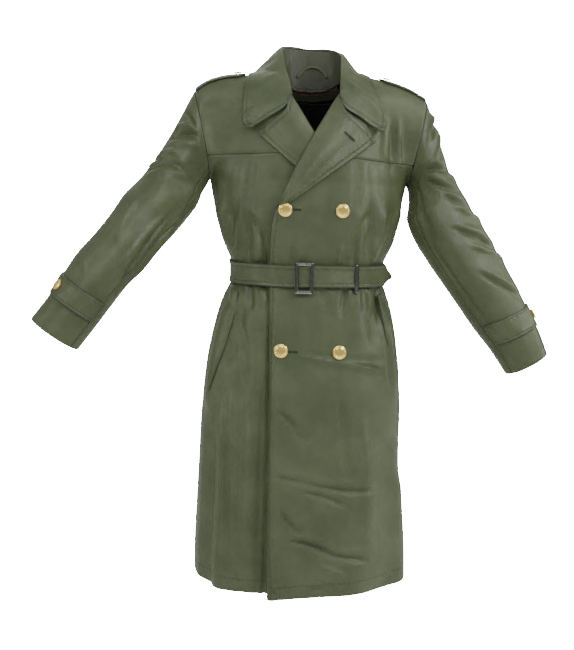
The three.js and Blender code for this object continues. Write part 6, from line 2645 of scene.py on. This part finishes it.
@dataclass
class Trim:
    """Epaulettes and pocket welts."""

    wardrobe: Wardrobe
    epaulette_from: float = 0.985
    epaulette_to: float = 0.57
    epaulette_front: float = -33.0
    epaulette_back: float = 15.0
    ridge_drop: float = 265.0
    welt_wide: float = 15.0
    welts: Table = Table(
        "side top_x top_z foot_x foot_z", ((-1, -141, -444, -190, -646), (1, 137, -444, 185, -646))
    )

    def _shoulder(self, side: Side, share: Array, y: Array) -> tuple[Array, Array, Array]:
        """Face, turn and height of places on the shoulder.

        Args:
            side: the wearer's side.
            share: share of the half width.
            y: distance behind the shoulder line.

        Returns:
            Arrays of faces, turns and heights.
        """
        height = 1 - np.abs(y) / self.ridge_drop
        turn = side.value * FORM.turn_at(share, height)
        return np.where(y < 0, -1.0, 1.0), turn, height

    def epaulette(self, side: Side) -> None:
        """Builds one epaulette and its button.

        Args:
            side: the wearer's side.
        """
        middle = (self.epaulette_front + self.epaulette_back) / 2
        along, across = grid_of(np.linspace(0, 1, 54), np.linspace(0, 1, 20))
        narrow = lerp(1, 0.45, smoothstep(along, 0.84, 1))
        y = middle + (lerp(self.epaulette_front, self.epaulette_back, across) - middle) * narrow
        share = lerp(self.epaulette_from, self.epaulette_to, along)
        face, turn, height = self._shoulder(side, share, y)
        rounding = 0.8 * (1 - bump(across - 0.5, 0.5)) * smoothstep(along, 0.1, 0.3)
        lift = np.full(turn.shape, CLOTH + GAP + 0.3) + rounding
        inner = FORM.lay(face, turn, height, lift)
        outer = FORM.lay(face, turn, height, lift + DOUBLE_CLOTH)
        insets = {Edge.FIRST_COLUMN: 5.0, Edge.LAST_COLUMN: 5.0, Edge.LAST_ROW: 5.0}
        sheet = Sheet(f"epaulette_band_{side.label}", outer, inner, insets)
        self.wardrobe.sheet(sheet, "laid", [f"yoke_{side.label}", "back"], f"epaulette_{side.label}")
        self.wardrobe.sew(f"epaulette_stitches_{side.label}", sheet)
        face, turn, height = self._shoulder(side, np.array(0.635), np.array(middle))
        place = FORM.lay(face, turn, height, np.array(CLOTH + GAP + 0.3 + DOUBLE_CLOTH + 0.4))
        button = Button(f"epaulette_gilt_{side.label}", radius=9.0, thick=4.0)
        made = button.build(place, FORM.normal(face, turn, height))
        self.wardrobe.wear(made, "gilt", Slot.GILT, f"epaulette_button_{side.label}")

    def welt(self, side: Side) -> None:
        """Builds one pocket welt.

        Args:
            side: the wearer's side.
        """
        left = side is Side.LEFT
        row = self.welts.rows[1 if left else 0]
        along, across = grid_of(np.linspace(0, 1, 52), np.linspace(0, 1, 8))
        wide = self.welt_wide * lerp(1, 0.55, along)
        x = lerp(row[1], row[3], along) + side.value * wide * across
        z = lerp(row[2], row[4], along)
        turn, height = FORM.locate(x, z)
        lift = front_lift(left, x, z) + CLOTH + GAP + 0.2
        inner = FORM.lay(-1, turn, height, lift)
        outer = FORM.lay(-1, turn, height, lift + lerp(DOUBLE_CLOTH, 0.8, across))
        insets = {Edge.FIRST_COLUMN: 3.0}
        sheet = Sheet(f"pocket_welt_{side.label}", outer, inner, insets)
        carrier, node = f"front_{side.label}", f"welt_{side.label}"
        self.wardrobe.sheet(sheet, "laid", [carrier], node, finish="twill_soft")
        self.wardrobe.sew(f"welt_stitches_{side.label}", sheet)

    def build(self) -> None:
        """Builds the trim of both sides."""
        for side in Side:
            self.epaulette(side)
            self.welt(side)


@dataclass
class Insides:
    """What shows inside the back: tape, facing, half lining and hanging loop."""

    wardrobe: Wardrobe
    collar: Collar
    tape_depth: float = 8.0
    facing_depth: float = 20.0
    strip_slack: float = 3.8
    slack_low: float = 10.0
    slack_high: float = 5.4
    lining_reach: float = 83.0
    lining_foot: float = -330.0
    folds: Unevenness = Unevenness(seed=3, height=1.2, short=40, long=90, upright=0.15)

    def _below_neck(self, share: Array, down: Array) -> tuple[Array, Array]:
        """Turn and height of places below the neck seam of the back."""
        x = NECK_HALF_WIDTH * 0.74 * share
        return FORM.locate(x * (1 + down / 90), neck_seam_z(x) - down)

    def _strip(self, name: str, low: float, high: float) -> Sheet:
        """A strip of cloth that follows the neck seam.

        Args:
            name: the piece's name.
            low: distance of its upper edge below the seam.
            high: distance of its lower edge below the seam.

        Returns:
            The sheet.
        """
        down, share = grid_of(np.linspace(low, high, 8), np.linspace(-1, 1, 60))
        turn, height = self._below_neck(share, down)
        lift = np.full(turn.shape, -CLOTH - self.strip_slack)
        outer = FORM.lay(1, turn, height, lift + CLOTH - GAP)
        inner = FORM.lay(1, turn, height, lift)
        return Sheet(name, outer, inner)

    def _lining(self) -> Sheet:
        """The half lining of the back."""
        turn_row = np.linspace(-self.lining_reach, self.lining_reach, 110)
        at_neck = self._below_neck(np.array(0.0), np.array(self.facing_depth + 3))[1]
        top = lerp(at_neck, 0.94, smoothstep(FORM.share(turn_row, np.full(turn_row.shape, 0.9)), 0.2, 0.5))
        lower = np.broadcast_to(np.linspace(self.lining_foot - ARMPIT_Z, -2, 26)[:, None], (26, 110))
        upper = top[None, :] * np.linspace(0.02, 1, 38)[:, None]
        height = np.concatenate([lower, upper])
        turn = np.broadcast_to(turn_row, height.shape)
        slack = lerp(self.slack_low, self.slack_high, smoothstep(height, 0, 0.6))
        base = FORM.point(1, turn, height)
        drape = self.folds.lift(base[..., 0], base[..., 2]) * (1 - smoothstep(height, 0.5, 0.9))
        outer = FORM.lay(1, turn, height, drape - slack)
        inner = FORM.lay(1, turn, height, drape - slack - CLOTH)
        return Sheet("half_lining", outer, inner)

    def _loop(self) -> bpy.types.Object:
        """The corded hanging loop, a twisted tube."""
        t = np.linspace(-1, 1, 90)
        share = t * 0.2 + 0.03
        path = self.collar.stand(share, 0.27 + 0.27 * (1 - t * t))
        path = path - self.collar.away(path) * (CLOTH / 2 + GAP + 1.7)
        run = unit(np.gradient(path, axis=0))
        out = unit(self.collar.away(path))
        side = unit(np.cross(run, out))
        out = np.cross(side, run)
        angles = 2 * np.pi * np.arange(14) / 14
        rings = []
        for k in range(len(t)):
            twist = 1 + 0.16 * np.cos(2 * angles - t[k] * 60)
            spoke = out[k] * np.cos(angles)[:, None] * 1.5 + side[k] * np.sin(angles)[:, None] * 2.6
            rings.append(path[k] + spoke * twist[:, None])
        points = np.concatenate(rings)
        faces = tube_faces(len(rings), len(angles))
        marks = {"edge": np.full(len(points), 9.0), "stitch": np.full(len(points), 60.0)}
        return make_object("hanging_cord", points, faces, attributes=marks)

    def build(self) -> None:
        """Builds everything inside the back."""
        tape = {"finish": "tape", "slot": Slot.TAPE}
        satin = {"finish": "satin", "slot": Slot.LINING}
        strip = self._strip("neck_tape_strip", -1, self.tape_depth)
        self.wardrobe.sheet(strip, "laid", ["back"], "neck_tape", **tape)
        facing = self._strip("neck_facing_strip", self.tape_depth + GAP, self.facing_depth)
        self.wardrobe.sheet(facing, "laid", ["back"], "neck_facing")
        self.wardrobe.sheet(self._lining(), "hung", ["back"], "back_lining", **satin)
        self.wardrobe.wear(self._loop(), "twill", Slot.CLOTH, "hanging_loop")


# ---- the studio ----


@dataclass(frozen=True)
class Lamp:
    """A soft square light that looks at a point of the coat."""

    name: str
    place: tuple[float, float, float]
    target: tuple[float, float, float]
    size: float
    power: float

    def build(self) -> None:
        """Adds the light."""
        data = bpy.data.lights.new(self.name, "AREA")
        data.size = self.size
        data.energy = self.power
        lamp = bpy.data.objects.new(self.name, data)
        lamp.location = self.place
        aim = Vector(self.target) - Vector(self.place)
        lamp.rotation_euler = aim.to_track_quat("-Z", "Y").to_euler()
        bpy.context.scene.collection.objects.link(lamp)


@dataclass(frozen=True)
class Studio:
    """Camera, lights, pale floor and white surroundings."""

    camera_place: tuple[float, float, float] = (-0.1674, -2.3942, -0.23136)
    yaw: float = 3.0777
    pitch: float = -6.8056
    roll: float = 1.4995
    lens: float = 63.3
    sensor: float = 36.0
    floor_z: float = -1.32
    seen_white: float = 60.0
    surround_from: float = -0.6
    surround_low: float = 0.14
    surround_high: float = 0.74

    def _camera(self) -> None:
        """Adds the camera at its height and tilt."""
        yaw, pitch, roll = (math.radians(v) for v in (self.yaw, self.pitch, self.roll))
        ahead = Vector((math.sin(yaw) * math.cos(pitch), math.cos(yaw) * math.cos(pitch), math.sin(pitch)))
        level = Vector((math.cos(yaw), -math.sin(yaw), 0))
        upright = level.cross(ahead)
        right = level * math.cos(roll) + upright * math.sin(roll)
        up = upright * math.cos(roll) - level * math.sin(roll)
        data = bpy.data.cameras.new("camera")
        data.lens = self.lens
        data.sensor_width = self.sensor
        data.clip_start, data.clip_end = 0.05, 50
        camera = bpy.data.objects.new("camera", data)
        turned = Matrix((right, up, -ahead)).transposed().to_4x4()
        camera.matrix_world = Matrix.Translation(Vector(self.camera_place)) @ turned
        bpy.context.scene.collection.objects.link(camera)
        bpy.context.scene.camera = camera

    def _world(self) -> None:
        """White surroundings that light the coat softly."""
        nodes = Nodes(bpy.data.worlds.new("surroundings"))
        way = nodes.make("ShaderNodeTexCoord", {}, {}, "Generated")
        rise = nodes.make("ShaderNodeSeparateXYZ", {}, {0: way}, "Z")
        sizes = {"Value": rise, "From Min": self.surround_from}
        sizes |= {"To Min": self.surround_low, "To Max": self.surround_high}
        strength = nodes.make("ShaderNodeMapRange", {}, sizes)
        light = nodes.make("ShaderNodeBackground", {}, {"Strength": strength})
        white = {"Color": (1, 1, 1, 1), "Strength": self.seen_white}
        seen = nodes.make("ShaderNodeBackground", {}, white)
        ray = nodes.make("ShaderNodeLightPath", {}, {}, "Is Camera Ray")
        mixed = nodes.make("ShaderNodeMixShader", {}, {0: ray, 1: light, 2: seen})
        bpy.context.scene.world = nodes.surface(mixed)

    def _floor(self, finish: bpy.types.Material) -> None:
        """A wide pale floor under the coat.

        Args:
            finish: the floor's finish.
        """
        half = 7.0
        mesh = bpy.data.meshes.new("floor")
        corners = [(-half, -half), (half, -half), (half, half), (-half, half)]
        mesh.from_pydata([(x, y, self.floor_z) for x, y in corners], [], [(0, 1, 2, 3)])
        floor = bpy.data.objects.new("floor", mesh)
        mesh.materials.append(finish)
        bpy.context.scene.collection.objects.link(floor)

    def build(self, wardrobe: Wardrobe) -> None:
        """Builds the studio.

        Args:
            wardrobe: the finishes.
        """
        self._camera()
        self._world()
        self._floor(wardrobe.finishes["floor"])
        middle = (0.0, 0.0, -0.5)
        lamps = [
            Lamp("key_light", (2.0, -1.5, 1.1), middle, 0.8, 44),
            Lamp("left_light", (-2.3, -1.4, 0.9), middle, 1.0, 26),
            Lamp("front_light", (-0.2, -2.5, 1.7), middle, 1.2, 20),
            Lamp("side_light", (2.6, 0.15, 0.9), middle, 0.6, 24),
            Lamp("back_light", (-0.5, 2.7, 1.3), middle, 1.6, 16),
        ]
        for lamp in lamps:
            lamp.build()


RIGHT_SLEEVE = Table(
    "at out_x out_z in_x in_z y deep",
    (
        (0, 241, -39, 206, -213, 0, 77),
        (1, 263, -84, 214, -228, -4, 78),
        (2, 287, -129, 224, -246, -12, 78),
        (3, 313, -171, 231, -264, -24, 77),
        (4, 341, -213, 240, -281, -40, 76),
        (5, 376, -250, 270, -320, -57, 74),
        (6, 402, -291, 303, -357, -75, 71),
        (7, 432, -332, 335, -396, -90, 67),
        (8, 465, -371, 370, -434, -105, 62),
        (9, 491, -413, 400, -474, -120, 56),
        (10, 517, -455, 428, -514, -135, 49),
        (11, 546, -497, 458, -555, -150, 42),
    ),
)
LEFT_SLEEVE = Table(
    "at out_x out_z in_x in_z y deep",
    (
        (0, 236, -44, 203, -213, 0, 77),
        (1, 255, -96, 211, -229, -4, 78),
        (2, 271, -144, 211, -250, -12, 78),
        (3, 287, -191, 208, -272, -26, 77),
        (4, 313, -235, 205, -294, -44, 75),
        (5, 339, -279, 220, -334, -60, 73),
        (6, 365, -322, 246, -376, -75, 71),
        (7, 390, -366, 275, -418, -90, 68),
        (8, 415, -410, 304, -461, -105, 63),
        (9, 437, -456, 333, -503, -120, 58),
        (10, 458, -500, 366, -543, -135, 50),
        (11, 474, -545, 397, -588, -150, 43),
    ),
)
# Large folds of the sleeves: along, around, length, width, raise and lean.
RIGHT_SLEEVE_FOLDS = (
    (2.4, -0.62, 1.3, 0.22, -6, 0.1),
    (5.4, -0.5, 1.0, 0.2, -4, -0.08),
    (6.6, -0.7, 1.8, 0.16, 4, 0),
    (4.2, 0.5, 1.4, 0.24, -6, -0.1),
    (6.4, 0.66, 1.4, 0.2, -5, 0.08),
)
LEFT_SLEEVE_FOLDS = (
    (2.6, -0.6, 1.3, 0.22, -6, 0.1),
    (5.0, -0.3, 0.7, 0.22, -4, -0.2),
    (6.2, -0.3, 0.7, 0.22, -4, -0.2),
    (4.4, 0.5, 1.4, 0.24, -6, -0.1),
    (6.6, 0.64, 1.4, 0.2, -5, 0.08),
)
RIGHT_SLEEVE_CREASES = (
    Crease(40, -30, 16, -82, 8, -4.6),
    Crease(103, -34, 17, -96, 9, -5.4, 3),
    Crease(84, -22, 28, -74, 9, 3.6, 3),
    Crease(152, -30, 100, -76, 9, 4.0, -3),
    Crease(194, -18, 108, -110, 11, -4.4, -5),
    Crease(168, 10, 150, -34, 9, -4.0),
    Crease(224, -136, 372, -145, 8, -4.8, 3),
    Crease(356, -144, 418, -168, 6, -3.6),
    Crease(196, -148, 414, -173, 7, 4.2, -4),
    Crease(214, -164, 398, -186, 8, -4.0, -3),
    Crease(268, -176, 380, -190, 7, 3.4),
    Crease(386, -40, 412, -76, 7, 2.6),
    Crease(240, -60, 330, -84, 16, 2.2, 5),
    Crease(60, 60, 190, 92, 12, -4.0, 5),
    Crease(120, 30, 250, 62, 12, 3.8, -6),
    Crease(190, 50, 330, 80, 12, -4.0, 6),
    Crease(260, 100, 420, 84, 11, 3.4, 5),
    Crease(300, 40, 410, 66, 10, -3.2),
)
LEFT_SLEEVE_CREASES = (
    Crease(14, -16, 5, -80, 7, -5.0),
    Crease(30, -12, 20, -84, 8, 4.0),
    Crease(46, -10, 36, -70, 8, -3.4),
    Crease(58, -18, 82, -80, 12, 4.2),
    Crease(58, -124, 150, -44, 9, -5.4, 3),
    Crease(94, -120, 192, -38, 9, -5.0, -4),
    Crease(118, -74, 172, -18, 12, 4.0),
    Crease(172, -84, 228, -36, 8, -4.8),
    Crease(204, -74, 264, -16, 13, 4.2),
    Crease(248, -96, 322, -26, 9, -5.6, 3),
    Crease(290, -84, 352, -18, 12, 4.2),
    Crease(350, -96, 426, -34, 9, -4.8, -3),
    Crease(56, -158, 240, -142, 12, -3.2, 6),
    Crease(260, -150, 430, -140, 10, -3.0, -5),
    Crease(60, 70, 190, 98, 12, -4.0, 5),
    Crease(130, 36, 270, 66, 12, 3.8, -6),
    Crease(220, 60, 350, 84, 12, -3.8, 5),
    Crease(300, 110, 420, 90, 10, 3.2, 4),
)
# Soft upright creases of the collar's stand and of its leaf.
STAND_CREASES = (
    Crease(-62, 84, -58, 16, 9, -1.4),
    Crease(-34, 88, -38, 30, 8, 1.2),
    Crease(22, 86, 26, 10, 9, -1.3),
    Crease(48, 84, 44, 24, 8, 1.3),
    Crease(-6, 70, -2, 20, 8, 0.8),
)
LEAF_CREASES = (
    Crease(166, 14, 178, 96, 10, 3.0),
    Crease(146, 20, 150, 90, 9, -2.4),
    Crease(184, 40, 192, 92, 7, -2.0),
    Crease(-150, 20, -158, 90, 11, 2.0),
    Crease(-120, 20, -124, 84, 12, -2.0),
    Crease(-40, 30, -46, 100, 14, 2.0),
    Crease(30, 30, 40, 100, 14, -2.0),
    Crease(84, 30, 92, 84, 12, 2.0),
)


def main() -> None:
    """Builds the coat's pieces and the studio."""
    logging.basicConfig(level=logging.INFO, format="%(name)s: %(message)s")
    wardrobe = Wardrobe()
    Studio().build(wardrobe)
    collar = Collar(wardrobe)
    Panels(wardrobe).build()
    Lapels(wardrobe).build()
    collar.build()
    right = (RIGHT_SLEEVE, RIGHT_SLEEVE_FOLDS, RIGHT_SLEEVE_CREASES, -0.18)
    left = (LEFT_SLEEVE, LEFT_SLEEVE_FOLDS, LEFT_SLEEVE_CREASES, -0.06)
    Sleeve(wardrobe, Side.RIGHT, *right, Unevenness(11, 1.4)).build()
    Sleeve(wardrobe, Side.LEFT, *left, Unevenness(12, 1.4)).build()
    Belt(wardrobe).build()
    Trim(wardrobe).build()
    Insides(wardrobe, collar).build()
    FrontButtons().build(wardrobe)


if __name__ == "__main__":
    main()
